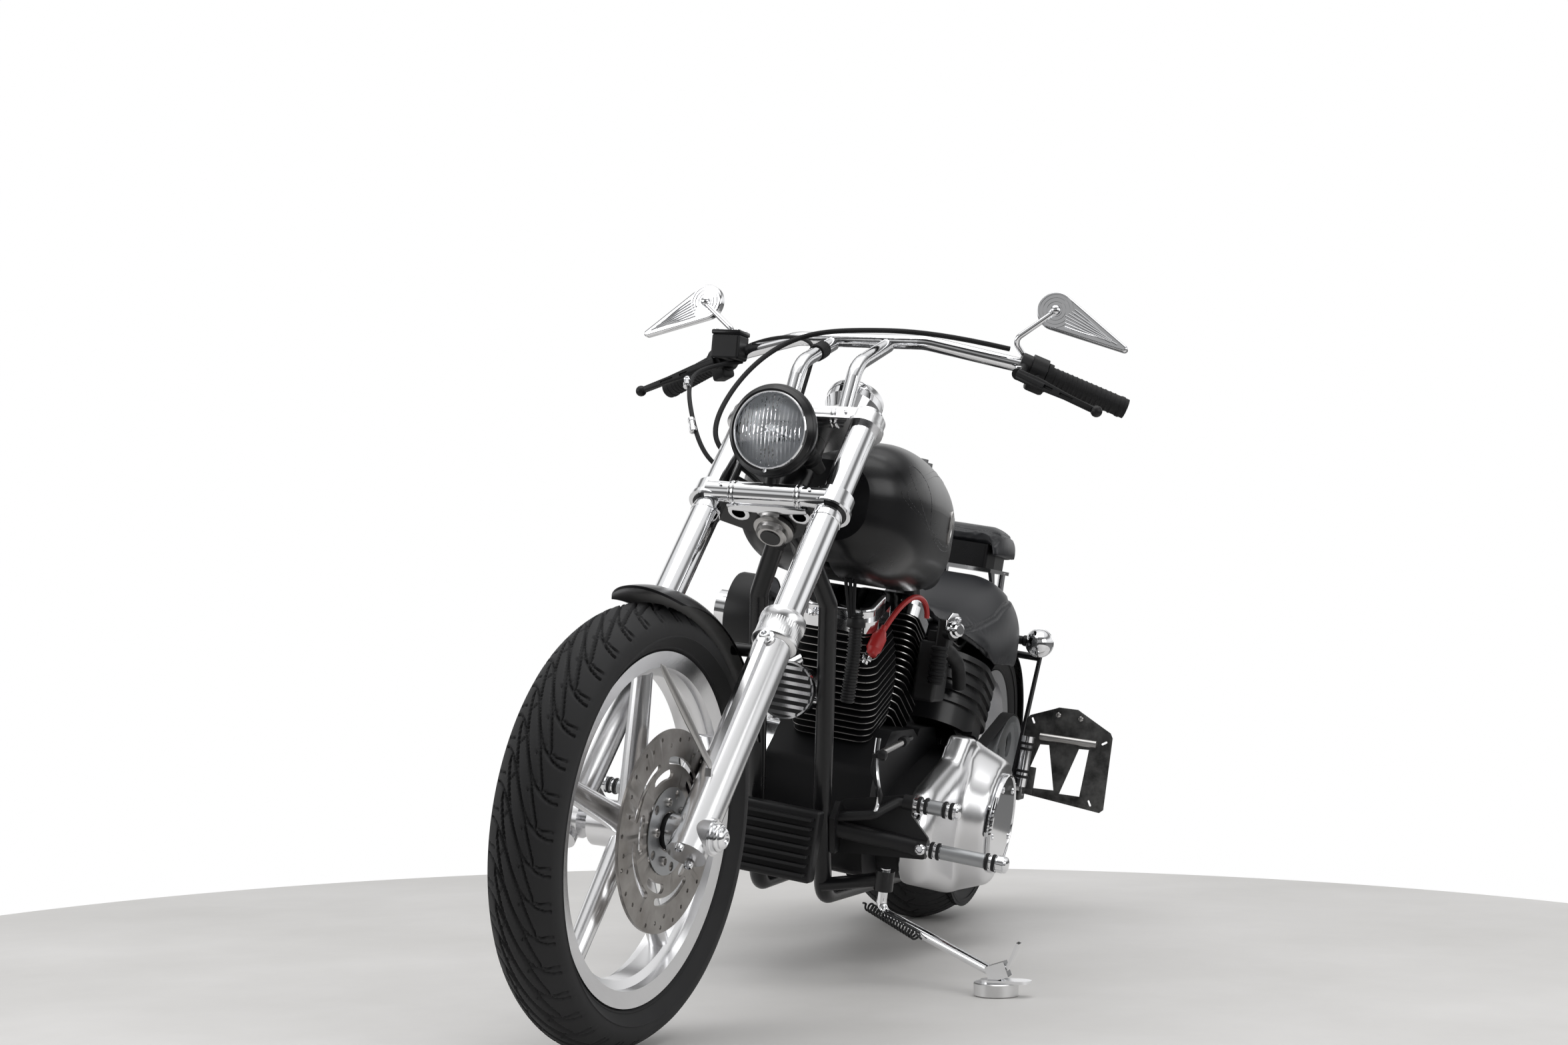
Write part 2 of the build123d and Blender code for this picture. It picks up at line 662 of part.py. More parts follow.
@cache
def frame():
    """Tubular cradle: neck, backbone, two downtubes that bend into lower rails, rear uprights and seat rails."""
    low, high = neck_ends()
    body = rod(tuple(low), tuple(high), NECK_R) + spine(SPINE_R)
    for s in (-1, 1):
        run = [(low.X - 79, s * 24, 770), (downtube_top()[0], s * DOWNTUBE_Y, downtube_top()[2]),
               (DOWNTUBE_FOOT[0], s * DOWNTUBE_Y, DOWNTUBE_FOOT[1]),
               (930, s * DOWNTUBE_Y, RAIL_Z), (470, s * 78, RAIL_Z), (PIVOT[0] + 10, s * UPRIGHT_Y, 196),
               (SEAT_POST_X + 4, s * UPRIGHT_Y, 430), (SEAT_POST_X - 10, s * 60, 640)]
        body += bent(run, FRAME_R, [14, 150, 55, 40, 40, 60])
        body += bent([(SEAT_POST_X - 10, s * 60, 632), (260, s * SEAT_RAIL_Y, 604), (70, s * SEAT_RAIL_Y, 690),
                      (-120, s * SEAT_RAIL_Y, 700)], 10, 60)
        body += rod((low.X - 67, s * 6, 786), (low.X - 89, s * 30, 756), FRAME_R)
    body += rod((SEAT_POST_X - 10, -60, 636), (SEAT_POST_X - 10, 60, 636), FRAME_R)
    body += rod((-112, -SEAT_RAIL_Y, 700), (-112, SEAT_RAIL_Y, 700), 9)
    body += rod((520, -78, RAIL_Z), (520, 78, RAIL_Z), FRAME_R - 3)
    body += rod((DOWNTUBE_FOOT[0], -DOWNTUBE_Y, DOWNTUBE_FOOT[1]), (DOWNTUBE_FOOT[0], DOWNTUBE_Y, DOWNTUBE_FOOT[1]),
                FRAME_R - 4)
    body += stand_bracket()
    body -= pivot_tube(20)
    body -= rod(tuple(low - (high - low)), tuple(high + (high - low)), STEM_R + TOUCH_GAP)
    return body


def arm_outline(grow):
    return [(PIVOT[0] + 18 + grow, PIVOT[1] - 24 - grow), (PIVOT[0] + 18 + grow, PIVOT[1] + 24 + grow),
            (20, REAR_R + 22 + grow), (-46 - grow, REAR_R + 20 + grow), (-46 - grow, REAR_R - 20 - grow),
            (20, REAR_R - 24 - grow)]


@cache
def swingarm():
    """Two box arms from the pivot to the rear axle, on a cross tube that passes inside the belt."""
    body = pivot_tube(20)
    for s in (-1, 1):
        body += slab(arm_outline(0), s * (ARM_Y - ARM_T / 2), s * (ARM_Y + ARM_T / 2))
    body -= rod((0, -ARM_Y - 30, REAR_R), (0, ARM_Y + 30, REAR_R), AXLE_R)
    return body


def rear_axle():
    """Axle with end nuts and the spacers between each arm and the wheel."""
    body = rod((0, -ARM_Y - 12, REAR_R), (0, ARM_Y + 12, REAR_R), AXLE_R)
    for s in (-1, 1):
        body += rod((0, s * (ARM_Y + 9), REAR_R), (0, s * (ARM_Y + 22), REAR_R), 19)
        body += rod((0, s * (BELT_Y + 16), REAR_R), (0, s * (ARM_Y - 9), REAR_R), AXLE_R + 6)
    return body


@cache
def rear_fender():
    """Bobbed mudguard close round the tyre, carried on the swingarm."""
    body = arc_shell(0, REAR_R, REAR_R + 14, 4, REAR_TYRE_W / 2 + 12, 48, -78, 52)
    for s in (-1, 1):
        body += slab([(-14, REAR_R + 22.5), (14, REAR_R + 22.5), (-80, REAR_R + 286), (-100, REAR_R + 286)],
                     s * (ARM_Y - ARM_T / 2), s * (ARM_Y - ARM_T / 2 + 6))
        body += rod((-90, s * (REAR_TYRE_W / 2 + 4), REAR_R + 282), (-90, s * (ARM_Y - 4), REAR_R + 282), 8)
    return body


PULLEY_R = 150.0
BELT_Y = 150.0
SPROCKET = (440.0, 302.0, 44.0)     # x, z and belt radius at the gearbox


def rear_pulley():
    body = rod((0, BELT_Y - 13, REAR_R), (0, BELT_Y + 13, REAR_R), PULLEY_R - TOUCH_GAP)
    body -= rod((0, BELT_Y - 20, REAR_R), (0, BELT_Y - 4, REAR_R), PULLEY_R - 14)
    body -= rod((0, BELT_Y + 4, REAR_R), (0, BELT_Y + 20, REAR_R), PULLEY_R - 14)
    for k in range(SPOKES):
        body -= Pos(0, BELT_Y, REAR_R) * Rot(0, 36 + 72 * k, 0) * Pos(88, 0, 0) * Rot(90, 0, 0) * Cylinder(28, 60)
    body += rod((0, 100, REAR_R), (0, BELT_Y + 12, REAR_R), 40)
    body -= rod((0, 80, REAR_R), (0, BELT_Y + 40, REAR_R), AXLE_R + BORE_GAP)
    return body


def belt_loop(extra, y0, y1):
    rear = Pos(0, REAR_R) * Circle(PULLEY_R + extra)
    front = Pos(SPROCKET[0], SPROCKET[1]) * Circle(SPROCKET[2] + extra)
    face = make_hull([e for c in (rear, front) for e in c.edges()])
    return Plane(origin=(0, y1, 0), x_dir=(1, 0, 0), z_dir=(0, -1, 0)) * extrude(face, y1 - y0)


def drive_belt():
    """Toothed belt round the rear pulley and the gearbox sprocket, one closed loop, with that sprocket."""
    y0, y1 = BELT_Y - 12, BELT_Y + 12
    sprocket = rod((SPROCKET[0], CASE_HALF, SPROCKET[1]), (SPROCKET[0], y1 - 2, SPROCKET[1]), SPROCKET[2] + 1)
    return [(belt_loop(4, y0, y1) - belt_loop(0, y0 - 1, y1 + 1)) + sprocket]


def rear_brake_disc():
    plane = Plane(origin=(0, -150, REAR_R), z_dir=(0, 1, 0), x_dir=(1, 0, 0))
    ring = Cylinder(DISC_R, DISC_T) - Cylinder(DISC_R - 34, DISC_T + 2)
    carrier = Cylinder(44, DISC_T)
    for k in range(SPOKES):
        carrier += Rot(0, 0, 360 / SPOKES * k) * Pos(78, 0, 0) * Box(74, 15, DISC_T)
    body = plane * (ring + carrier)
    body += rod((0, -150, REAR_R), (0, -100, REAR_R), 40)
    body -= rod((0, -180, REAR_R), (0, -80, REAR_R), AXLE_R + BORE_GAP)
    return body


# ---------------------------------------------------------------- engine
@cache
def engine_cases():
    """Crankcase, gearbox and oil sump as one heavy block."""
    body = slab([(565, 176), (560, 420), (640, 452), (800, 452), (878, 380), (888, 250), (850, 190)],
                -CASE_HALF, CASE_HALF, 24)
    body += slab([(418, 222), (418, 400), (470, 452), (600, 452), (600, 184), (456, 184)], -CASE_HALF, CASE_HALF, 14)
    return body


def cylinder_axis(side):
    a = math.radians(BANK) * side
    return Vector(math.sin(a), 0, math.cos(a))


def cylinder_plane(side, along):
    d = cylinder_axis(side)
    origin = Vector(CRANK[0], 0, CRANK[1]) + d * along
    return Plane(origin=origin, x_dir=(0, 1, 0), z_dir=d)


FINS = 16
FIN_T = 3.2


def finned_cylinder(side):
    """Barrel and head with cooling fins that widen towards the middle."""
    start, end = BORE_BASE + 22, HEAD_TOP - 6
    body = cylinder_plane(side, BORE_BASE) * extrude(RectangleRounded(104, 104, 40), HEAD_TOP - BORE_BASE)
    for k in range(FINS):
        t = k / (FINS - 1)
        half = 62 + 24 * math.sin(math.pi * (0.18 + 0.7 * t))
        fin = RectangleRounded(2 * half, 2 * half - 14, half * 0.32)
        body += cylinder_plane(side, start + (end - start) * t) * extrude(fin, FIN_T)
    return body


@cache
def cylinders():
    return [(finned_cylinder(side) - mid_wall(side)) - engine_cases() for side in (1, -1)]


def mid_wall(side):
    """The space beyond the plane midway between the two barrels."""
    return Pos(CRANK[0] - side * 151, 0, 600) * Box(300, 400, 900)


def rocker_boxes():
    made = []
    for side in (1, -1):
        lower = cylinder_plane(side, HEAD_TOP) * extrude(RectangleRounded(150, 118, 26), 22)
        upper = cylinder_plane(side, HEAD_TOP + 22) * extrude(RectangleRounded(134, 104, 24), ROCKER_TOP - HEAD_TOP - 22)
        upper = fillet(upper.faces().sort_by(Axis((0, 0, 0), cylinder_axis(side)))[-1].edges(), 9)
        made.append((lower + upper) - mid_wall(side))
    return made


CLUTCH = (430.0, 284.0)     # x, z of the clutch
PRIMARY_NOSE = (700.0, 264.0)
PRIMARY_IN = CASE_HALF
PRIMARY_FLANGE = 148.0      # where the outer cover meets the inner one
PANEL_TOP = 448.0           # top of the outer cover's flat panel
PRIMARY_REAR_R = 156.0      # outer cover round the clutch
PRIMARY_OUT = 258.0


def stadium(r_front, r_rear, y0, y1):
    """An egg-shaped slab round the crankshaft's end and the clutch."""
    circles = [Pos(*PRIMARY_NOSE) * Circle(r_front), Pos(*CLUTCH) * Circle(r_rear)]
    face = make_hull([e for c in circles for e in c.edges()])
    return Plane(origin=(0, y1, 0), x_dir=(1, 0, 0), z_dir=(0, -1, 0)) * extrude(face, y1 - y0)


def primary_space():
    """What the primary drive's covers leave clear: belt, swingarm, its pivot and the tyre."""
    return [belt_loop(10, PRIMARY_IN - 1, BELT_Y + 17), slab(arm_outline(4), PRIMARY_IN - 1, ARM_Y + ARM_T / 2 + 4),
            pivot_tube(24), rod((0, 0, REAR_R), (0, REAR_TYRE_W / 2 + 10, REAR_R), REAR_R + 14), frame()]


def inner_primary():
    """Black housing between the crankcase and the outer cover."""
    body = stadium(88, 132, PRIMARY_IN, PRIMARY_FLANGE)
    for neighbour in primary_space():
        body -= neighbour
    return max(body.solids(), key=lambda solid: solid.volume)


def primary_cover():
    """Polished outer cover: a side that rises to the clutch dome, with a flat panel and bolt bosses above."""
    outer = stadium(96, PRIMARY_REAR_R, PRIMARY_FLANGE, PRIMARY_FLANGE + 54)
    body = fillet(outer.faces().sort_by(Axis.Y)[-1].edges(), 32)
    panel = slab([(452, 300), (462, PANEL_TOP - 4), (528, PANEL_TOP), (600, 380), (600, 300)],
                 PRIMARY_FLANGE, PRIMARY_FLANGE + 48, 16)
    body += fillet(panel.faces().sort_by(Axis.Y)[-1].edges(), 10)
    dome = Plane(origin=(CLUTCH[0], PRIMARY_OUT - 4, CLUTCH[1]), x_dir=(1, 0, 0), z_dir=(0, -1, 0))
    body += dome * Pos(0, 0, 34) * Cone(150, 122, 68, rotation=(180, 0, 0))
    for x, z in ((548, 402), (648, 366), (748, 332)):
        body += rod((x, PRIMARY_FLANGE, z), (x, PRIMARY_FLANGE + 14, z), 14)
        body += rod((x, PRIMARY_FLANGE, z), (x, PRIMARY_FLANGE + 22, z), 9)
    for neighbour in primary_space():
        body -= neighbour
    return max(body.solids(), key=lambda solid: solid.volume)


def clutch_covers():
    """Flat round clutch cover and the small inspection cover ahead of it."""
    derby = rod((CLUTCH[0], PRIMARY_OUT - 4, CLUTCH[1]), (CLUTCH[0], PRIMARY_OUT + 4, CLUTCH[1]), 100)
    face = Pos(CLUTCH[0] + 112, CLUTCH[1] + 12) * RectangleRounded(20, 62, 9)
    hatch = Plane(origin=(0, PRIMARY_OUT, 0), x_dir=(1, 0, 0), z_dir=(0, -1, 0)) * extrude(face, 4)
    return [fillet(derby.edges(), 2.5), hatch]


def cam_cover():
    """Right-hand timing cover with its round point cover."""
    body = slab([(600, 215), (600, 380), (660, 430), (780, 430), (850, 360), (850, 230), (800, 205)],
                -CASE_HALF - 46, -CASE_HALF, 26)
    body += rod((CRANK[0] + 6, -CASE_HALF - 56, CRANK[1] + 12), (CRANK[0] + 6, -CASE_HALF - 40, CRANK[1] + 12), 46)
    return body


def air_cleaner():
    """Round filter on the right with a chrome end cap and its intake arm."""
    centre = (748, -212, 622)
    body = rod((centre[0], -250, centre[2]), (centre[0], -186, centre[2]), 74)
    body += rod((centre[0], -284, centre[2]), (centre[0], -249, centre[2]), 36)
    plenum = (CRANK[0], -34, centre[2] - 24)
    body += rod(plenum, (centre[0] - 10, -188, centre[2] - 10), 24)
    body += rod((plenum[0] - 70, plenum[1], plenum[2]), (plenum[0] + 70, plenum[1], plenum[2]), 20)
    for barrel in cylinders():
        body -= barrel
    return max(body.solids(), key=lambda solid: solid.volume)


MUFFLER_R = 40.0
MUFFLER_Y = -268.0


def exhaust():
    """Two header pipes that sweep down the right side into stacked mufflers."""
    front = bent([(898, -70, 560), (950, -112, 520), (925, -170, 340), (850, -220, 256), (480, MUFFLER_Y, 246)], 22,
                 [34, 60, 50])
    rear = bent([(552, -70, 560), (520, -150, 520), (528, -226, 420), (450, MUFFLER_Y + 4, 362),
                 (330, MUFFLER_Y, 350)], 22, [30, 40, 50])
    made = []
    for pipe, start, end in ((front, (480, 246), (-150, 232)), (rear, (330, 350), (-110, 336))):
        pipe += rod((start[0], MUFFLER_Y, start[1]), (end[0], MUFFLER_Y, end[1]), MUFFLER_R)
        pipe -= rod((end[0] + 130, MUFFLER_Y, end[1] + 3), (end[0] - 5, MUFFLER_Y, end[1]), MUFFLER_R - 5)
        for barrel in cylinders():
            pipe -= barrel
        made.append(pipe)
    return made


def regulator():
    """Finned voltage regulator low between the downtubes."""
    body = block((1062, 0, 250), (34, 150, 126), 6)
    for k in range(7):
        body += block((1088, 0, 202 + 16 * k), (22, 134, 5))
    body += block((1030, 0, 285), (50, 40, 12))
    return body - frame()


HORN = (downtube_x(505.0) + 40, 0.0, 515.0)
HORN_R = 50.0


def horn():
    """Horn between the downtubes with its ribbed chrome cap."""
    x, y, z = HORN
    body = rod((x - 86, y, z), (x - 14, y, z), 40) + rod((x - 14, y, z), (x, y, z), HORN_R)
    for k in range(-3, 4):
        half = math.sqrt((HORN_R - 3) ** 2 - (13 * k) ** 2)
        body += block((x + 1, y, z + 13 * k), (10, 2 * half, 6))
    body += rod((x - 40, -DOWNTUBE_Y, z - 10), (x - 40, DOWNTUBE_Y, z - 10), 7)
    return body - frame()


def coil_and_key_switch():
    """Coil housing on the left with the key switch on its bracket above."""
    body = block((604, 113, 566), (88, 46, 116), 8)
    body += block((626, 134, 640), (46, 26, 60), 6)
    body += rod((640, 140, 644), (658, 158, 644), 12)
    body += block((604, 112, 632), (40, 24, 24))
    body += rod((604, 70, 566), (604, 92, 566), 14)
    for barrel in cylinders():
        body -= barrel
    return max(body.solids(), key=lambda solid: solid.volume)


OIL_RIBS = 5


def oil_tank():
    """Ribbed tank under the seat, behind the rear barrel: its ribs run round the corner and slope to the rear."""
    level = Plane(origin=(398, 0, 462), x_dir=(0, 1, 0), z_dir=(-0.34, 0, 0.94))
    body = level * Pos(0, 0, -34) * extrude(RectangleRounded(344, 236, 84), 150)
    for k in range(OIL_RIBS):
        body += level * Pos(0, 0, 10 + 23 * k) * extrude(RectangleRounded(360, 252, 92), 11)
    body -= Pos(398, -250, 500) * Box(900, 2 * (250 + 62), 600)
    clear = rod((0, -150, REAR_R), (0, REAR_TYRE_W / 2 + 18, REAR_R), REAR_R + 28)
    body -= slab([(430, 300), (430, PANEL_TOP + 5), (640, PANEL_TOP + 5), (640, 300)], PRIMARY_FLANGE - 4, 220)
    body -= rod((CLUTCH[0], PRIMARY_FLANGE - 4, CLUTCH[1]), (CLUTCH[0], 220, CLUTCH[1]), PRIMARY_REAR_R + 5)
    for neighbour in [clear, frame(), engine_cases()] + cylinders() + rocker_boxes():
        body -= neighbour
    return max(body.solids(), key=lambda solid: solid.volume)


# ---------------------------------------------------------------- tank and seats
TANK_SECTIONS = (           # x, half width, lowest z, highest z
    (432, 58, 716, 806), (600, 108, 712, 892), (780, 150, 710, 950), (950, 166, 712, 966), (1090, 156, 730, 952),
    (1160, 96, 780, 915))


def lofted(sections, round_share, inset=0.0):
    """A smooth body through rounded sections given as (x, half width, lowest z, highest z)."""
    faces = []
    for x, half, low, high in sections:
        half, height = half - inset, high - low - inset
        plane = Plane(origin=(x, 0, low + height / 2), x_dir=(0, 1, 0), z_dir=(1, 0, 0))
        faces.append(plane * RectangleRounded(2 * half, height, min(half, height / 2) * round_share))
    return loft(faces)


@cache
def fuel_tank():
    """Teardrop tank over the backbone, with the tunnel that fits it."""
    body = lofted(TANK_SECTIONS, 0.82)
    body -= spine(SPINE_R + TOUCH_GAP)
    body -= Pos(800, 0, FRAME_TOP - 60) * Box(900, 2 * (SPINE_R + SWEEP_GAP), 120)
    return max(body.solids(), key=lambda solid: solid.volume)


def fuel_caps():
    made = []
    for x, y, z, r, h in ((752, 56, 946, 32, 18), (822, -2, 962, 13, 12)):
        cap = Pos(x, y, z) * Cylinder(r, h) + Pos(x, y, z + h / 2 + 3) * Cylinder(r * 0.72, 7)
        made.append(cap - fuel_tank())
    return made


def plan_cut(outline, z0, z1, radius):
    points = [(x, y) for x, y in outline] + [(x, -y) for x, y in reversed(outline)]
    face = make_face(Polyline(*points, close=True))
    face = fillet(face.vertices(), radius)
    return Pos(0, 0, z0) * extrude(face, z1 - z0)


SEAT_SECTIONS = (           # x, half width, lowest z, highest z
    (424, 66, 520, 704), (360, 94, 500, 690), (270, 132, 480, 688), (180, 160, 470, 718), (100, 166, 470, 756),
    (20, 146, 480, 758), (-44, 92, 520, 722))
SEAT_WALL = 16.0


def seat():
    """Bucket seat with side skirts, hollow over the frame and the mudguard."""
    side = slab([(440, 780), (440, 684), (350, 650), (262, 612), (226, 580), (60, 574), (0, 600), (-20, 664),
                 (-60, 690), (-60, 800)], -200, 200, 10)
    body = lofted(SEAT_SECTIONS, 0.9) & side
    body -= lofted(SEAT_SECTIONS, 0.9, SEAT_WALL)
    clear = rod((0, -REAR_TYRE_W / 2 - 16, REAR_R), (0, REAR_TYRE_W / 2 + 16, REAR_R), REAR_R + 24)
    for neighbour in (clear, spine(SPINE_R + TOUCH_GAP), frame()):
        body -= neighbour
    return max(body.solids(), key=lambda solid: solid.volume)


PILLION_SECTIONS = (
    (80, 84, 756, 858), (50, 99, 752, 869), (-30, 99, 752, 876), (-110, 86, 754, 878), (-170, 64, 758, 872),
    (-204, 40, 770, 858))
PAN_HALF = 70.0
PAN_TOP = 836.0
PAN_LOW = 784.0
PAD_LOW = 808.0             # lowest edge of the padding


def passenger_seat():
    """Small pad that droops round its pan."""
    body = lofted(PILLION_SECTIONS, 0.86)
    body -= Pos(-50, 0, PAD_LOW - 60) * Box(400, 300, 120)
    recess = Pos(-24, 0, PAN_TOP - 30 + TOUCH_GAP) * Box(240, 2 * (PAN_HALF + TOUCH_GAP), 60)
    return body - recess


def passenger_seat_pan():
    """Moulded pan under the pad."""
    shape = Plane.XY * make_face(Polyline((72, -PAN_HALF + 8), (72, PAN_HALF - 8), (20, PAN_HALF), (-100, PAN_HALF - 6),
                                          (-138, 40), (-138, -40), (-100, 6 - PAN_HALF), (20, -PAN_HALF), close=True))
    return Pos(0, 0, PAN_LOW) * extrude(fillet(shape.vertices(), 8), PAN_TOP - PAN_LOW)


def passenger_seat_bracket():
    """Chrome carrier that lifts the pad clear of the mudguard, on two posts from the seat rails."""
    body = block((-40, 0, PAN_LOW - 4), (190, 144, 8))
    for s in (-1, 1):
        body += rod((-96, s * (SEAT_RAIL_Y - 6), 706), (-90, s * (SEAT_RAIL_Y - 6), PAN_LOW - 4), 8)
        body += slab([(56, PAN_LOW), (16, PAN_LOW), (-8, 750), (6, 744)], s * 65, s * 72)
    return body - frame()


SIGNAL = (-36.0, 186.0, REAR_R + 315.4)
SIGNAL_R = 31.0


def rear_turn_signals():
    """Round lamps on short stalks from the mudguard's sides."""
    made = []
    for s in (-1, 1):
        body = Pos(SIGNAL[0], s * SIGNAL[1], SIGNAL[2]) * Sphere(SIGNAL_R)
        body += rod((SIGNAL[0], s * (REAR_TYRE_W / 2 - 30), SIGNAL[2]), (SIGNAL[0], s * SIGNAL[1], SIGNAL[2]), 7)
        made.append(max((body - rear_fender()).solids(), key=lambda solid: solid.volume))
    return made


PLATE_X = -28.0
PLATE_HOLE_Z = REAR_R + 167.4


def plate_bracket():
    """Bare side-mounted plate holder with two windows, two round holes and a lamp bar."""
    outline = [(190, 153), (186, -13), (382, -25), (378, 145), (300, 183), (250, 181)]     # z from the rear axle
    face = make_face(Polyline(*outline, close=True))
    for window in ([(206, 95), (228, 99), (230, 5), (200, 1)], [(330, 103), (352, 105), (352, -1), (318, 1)]):
        face -= make_face(Polyline(*window, close=True))
    for y in (255, 305):
        face -= Pos(y, PLATE_HOLE_Z - REAR_R) * Circle(4)
    plane = Plane(origin=(PLATE_X, 0, REAR_R), x_dir=(0, 1, 0), z_dir=(1, 0, 0))
    body = plane * extrude(face, 3)
    body += rod((PLATE_X + 9, 222, REAR_R + 115), (PLATE_X + 9, 350, REAR_R + 119), 7.5)
    face = ARM_Y + ARM_T / 2
    body += block((PLATE_X + 3, face + 14, REAR_R + 15), (6, 28, 60))
    body += block((-4, face + 6, REAR_R), (54, 8, 56))
    body -= rod((0, 100, REAR_R), (0, 260, REAR_R), 19)
    return body - swingarm()


# ---------------------------------------------------------------- foot controls
PEG_X = 960.0
PEG_Z = 272.0
PEG_IN = 244.0              # where the peg leaves its clevis
SHIFT_IN = 208.0


def foot_bracket(side):
    """Forward bracket with the arms that carry a folding peg and a pedal."""
    plate = slab([(1028, 300), (1004, 330), (936, 296), (930, 246), (990, 236)], 0, 10)
    body = Pos(0, DOWNTUBE_Y + FRAME_R, 0) * plate
    face = make_face(Polyline((DOWNTUBE_Y + FRAME_R, 330), (188, 358), (206, 352), (208, 326), (PEG_IN, 292),
                              (PEG_IN, 254), (DOWNTUBE_Y + FRAME_R, 236), close=True))
    body += Plane(origin=(PEG_X - 2, 0, 0), x_dir=(0, 1, 0), z_dir=(1, 0, 0)) * extrude(fillet(face.vertices(), 5), 9)
    body += rod((990, DOWNTUBE_Y + FRAME_R + 4, 280), (PEG_X, 236, PEG_Z), 15)
    body += rod((PEG_X, 218, PEG_Z), (PEG_X, PEG_IN, PEG_Z), 17)
    body += bent([(1000, DOWNTUBE_Y + 12, 300), (1000, 150, 318), (968, 180, 344), (PEG_X, SHIFT_IN - 8, 346)], 9, [20, 12])
    body += rod((PEG_X, 190, 346), (PEG_X, SHIFT_IN, 346), 14)
    if side < 0:
        body = mirror_y(body)
    return body - frame()


def foot_peg(side):
    """Round peg and pedal pad, each with two pairs of rings."""
    body = rod((PEG_X, PEG_IN, PEG_Z), (PEG_X, 378, PEG_Z), 11)
    for y in (250, 262, 350, 362):
        body += rod((PEG_X, y, PEG_Z), (PEG_X, y + 7, PEG_Z), 14)
    body += rod((PEG_X, 372, PEG_Z), (PEG_X, 382, PEG_Z), 15)
    pad = rod((PEG_X, SHIFT_IN, 346), (PEG_X, 284, 346), 11)
    for y in (216, 228, 262, 274):
        pad += rod((PEG_X, y, 346), (PEG_X, y + 7, 346), 14)
    return [mirror_y(part) if side < 0 else part for part in (body, pad)]


def shift_linkage():
    """Bent rod up from the pedal and the shift rod back to the gearbox."""
    body = bent([(1000, 150, 324), (1012, 160, 352), (1012, 138, 396), (1006, 138, 448)], 4.5, 14)
    body += rod((1016, 138, 420), (716, 122, 440), 4.5)
    return body


def foot_controls():
    """Brackets on the downtubes, with the shift linkage on the left."""
    return [foot_bracket(1) + shift_linkage(), foot_bracket(-1)]


def foot_pegs():
    return foot_peg(1) + foot_peg(-1)


def passenger_pegs():
    """Folded-up pegs on bosses from the swingarm."""
    face = ARM_Y + ARM_T / 2
    made = []
    for s in (-1, 1):
        low, high = REAR_R + 5, REAR_R + 107
        body = rod((50, s * (face + 14), low), (46, s * (face + 14), high), 12)
        body += rod((46, s * (face + 14), high - 6), (46, s * (face + 14), high + 8), 14)
        body += rod((50, s * face, low), (50, s * (face + 14), low), 10)
        made.append(body)
    return made


# ---------------------------------------------------------------- side stand
STAND_PIVOT = (954.0, 176.0, 176.0)
STAND_AXIS = (0.14, 0.0, 0.99)
STAND_R = 9.0
STAND_DROP = 28.0               # from the pivot point down to the leg's bend
FOOT_XY = (1086.0, 436.0)       # where the foot stands, measured from the rear tyre's upright contact line


def foot_top():
    """The foot's place on the puck, brought back into the upright frame."""
    placed = ground * Pos(FOOT_XY[0], FOOT_XY[1], 0)
    flat = Location((placed.position.X, placed.position.Y, PUCK_H))
    return parked.inverse() * flat


def side_stand():
    """Bent leg on a near-vertical pivot, with a flat foot and its extension block."""
    foot = foot_top()
    heel = (foot * Pos(-6, 0, 12)).position
    body = bent([tuple(stand_point(50)), tuple(stand_point(-STAND_DROP)), tuple(heel)], STAND_R, 22)
    plate = foot * Pos(4, 18, 0) * extrude(SlotOverall(86, 40, rotation=90), 5)
    body += plate
    tab = foot * Pos(2, 4, 18) * Rot(18, 0, 0) * Box(30, 34, 26)
    body += tab
    body += foot * Pos(2, 30, 44) * Rot(-24, 0, 0) * Box(22, 5, 48)
    return body


def stand_puck():
    puck = Cylinder(PUCK_R, PUCK_H)
    placed = ground * Pos(FOOT_XY[0], FOOT_XY[1], 0)
    return Pos(placed.position.X, placed.position.Y, PUCK_H / 2) * chamfer(puck.edges(), 1.5)


# ---------------------------------------------------------------- the whole bike
PIECES = (      # builder, place
    (front_tyre, steered), (front_wheel, steered), (front_brake_disc, steered),
    (front_axle, steered), (fork_tubes, steered), (fork_sliders, steered), (lower_triple_clamp, steered),
    (fork_bracket_cover, steered), (upper_triple_clamp, steered), (handlebar, steered), (grips, steered),
    (left_controls, steered), (right_controls, steered), (mirrors, steered), (headlamp_shell, steered),
    (headlamp_lens, steered), (speedometer, steered), (front_fender, steered),
    (front_brake_caliper, steered), (steering_cables, steered),
    (rear_tyre, parked), (rear_wheel, parked), (rear_pulley, parked), (rear_brake_disc, parked),
    (frame, parked), (swingarm, parked), (rear_axle, parked), (rear_fender, parked), (drive_belt, parked),
    (engine_cases, parked), (cylinders, parked), (rocker_boxes, parked),
    (inner_primary, parked), (primary_cover, parked), (clutch_covers, parked), (cam_cover, parked), (air_cleaner, parked),
    (exhaust, parked), (regulator, parked), (horn, parked), (coil_and_key_switch, parked),
    (oil_tank, parked), (fuel_tank, parked), (fuel_caps, parked), (seat, parked), (passenger_seat, parked),
    (passenger_seat_pan, parked), (passenger_seat_bracket, parked), (rear_turn_signals, parked), (plate_bracket, parked),
    (foot_controls, parked), (foot_pegs, parked), (passenger_pegs, parked),
    (side_stand, parked), (stand_puck, upright))


def main():
    os.makedirs("parts", exist_ok=True)
    for builder, place in PIECES:
        made = builder()
        made = made if isinstance(made, list) else [made]
        solids = [place * solid for body in made for solid in body.solids()]
        export_step(Compound(children=solids), os.path.join("parts", builder.__name__ + ".step"))


if __name__ == "__main__":
    main()
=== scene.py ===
# %% [markdown]
# # A chopper motorcycle, finished in Blender
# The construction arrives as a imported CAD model: every tube, casting and axle at its real size, each in a node of its
# own. This script keeps that frame as it is, gives each surface its finish, and adds what CAD leaves out: tread,
# padding, stitching, cables, bolts and glass.

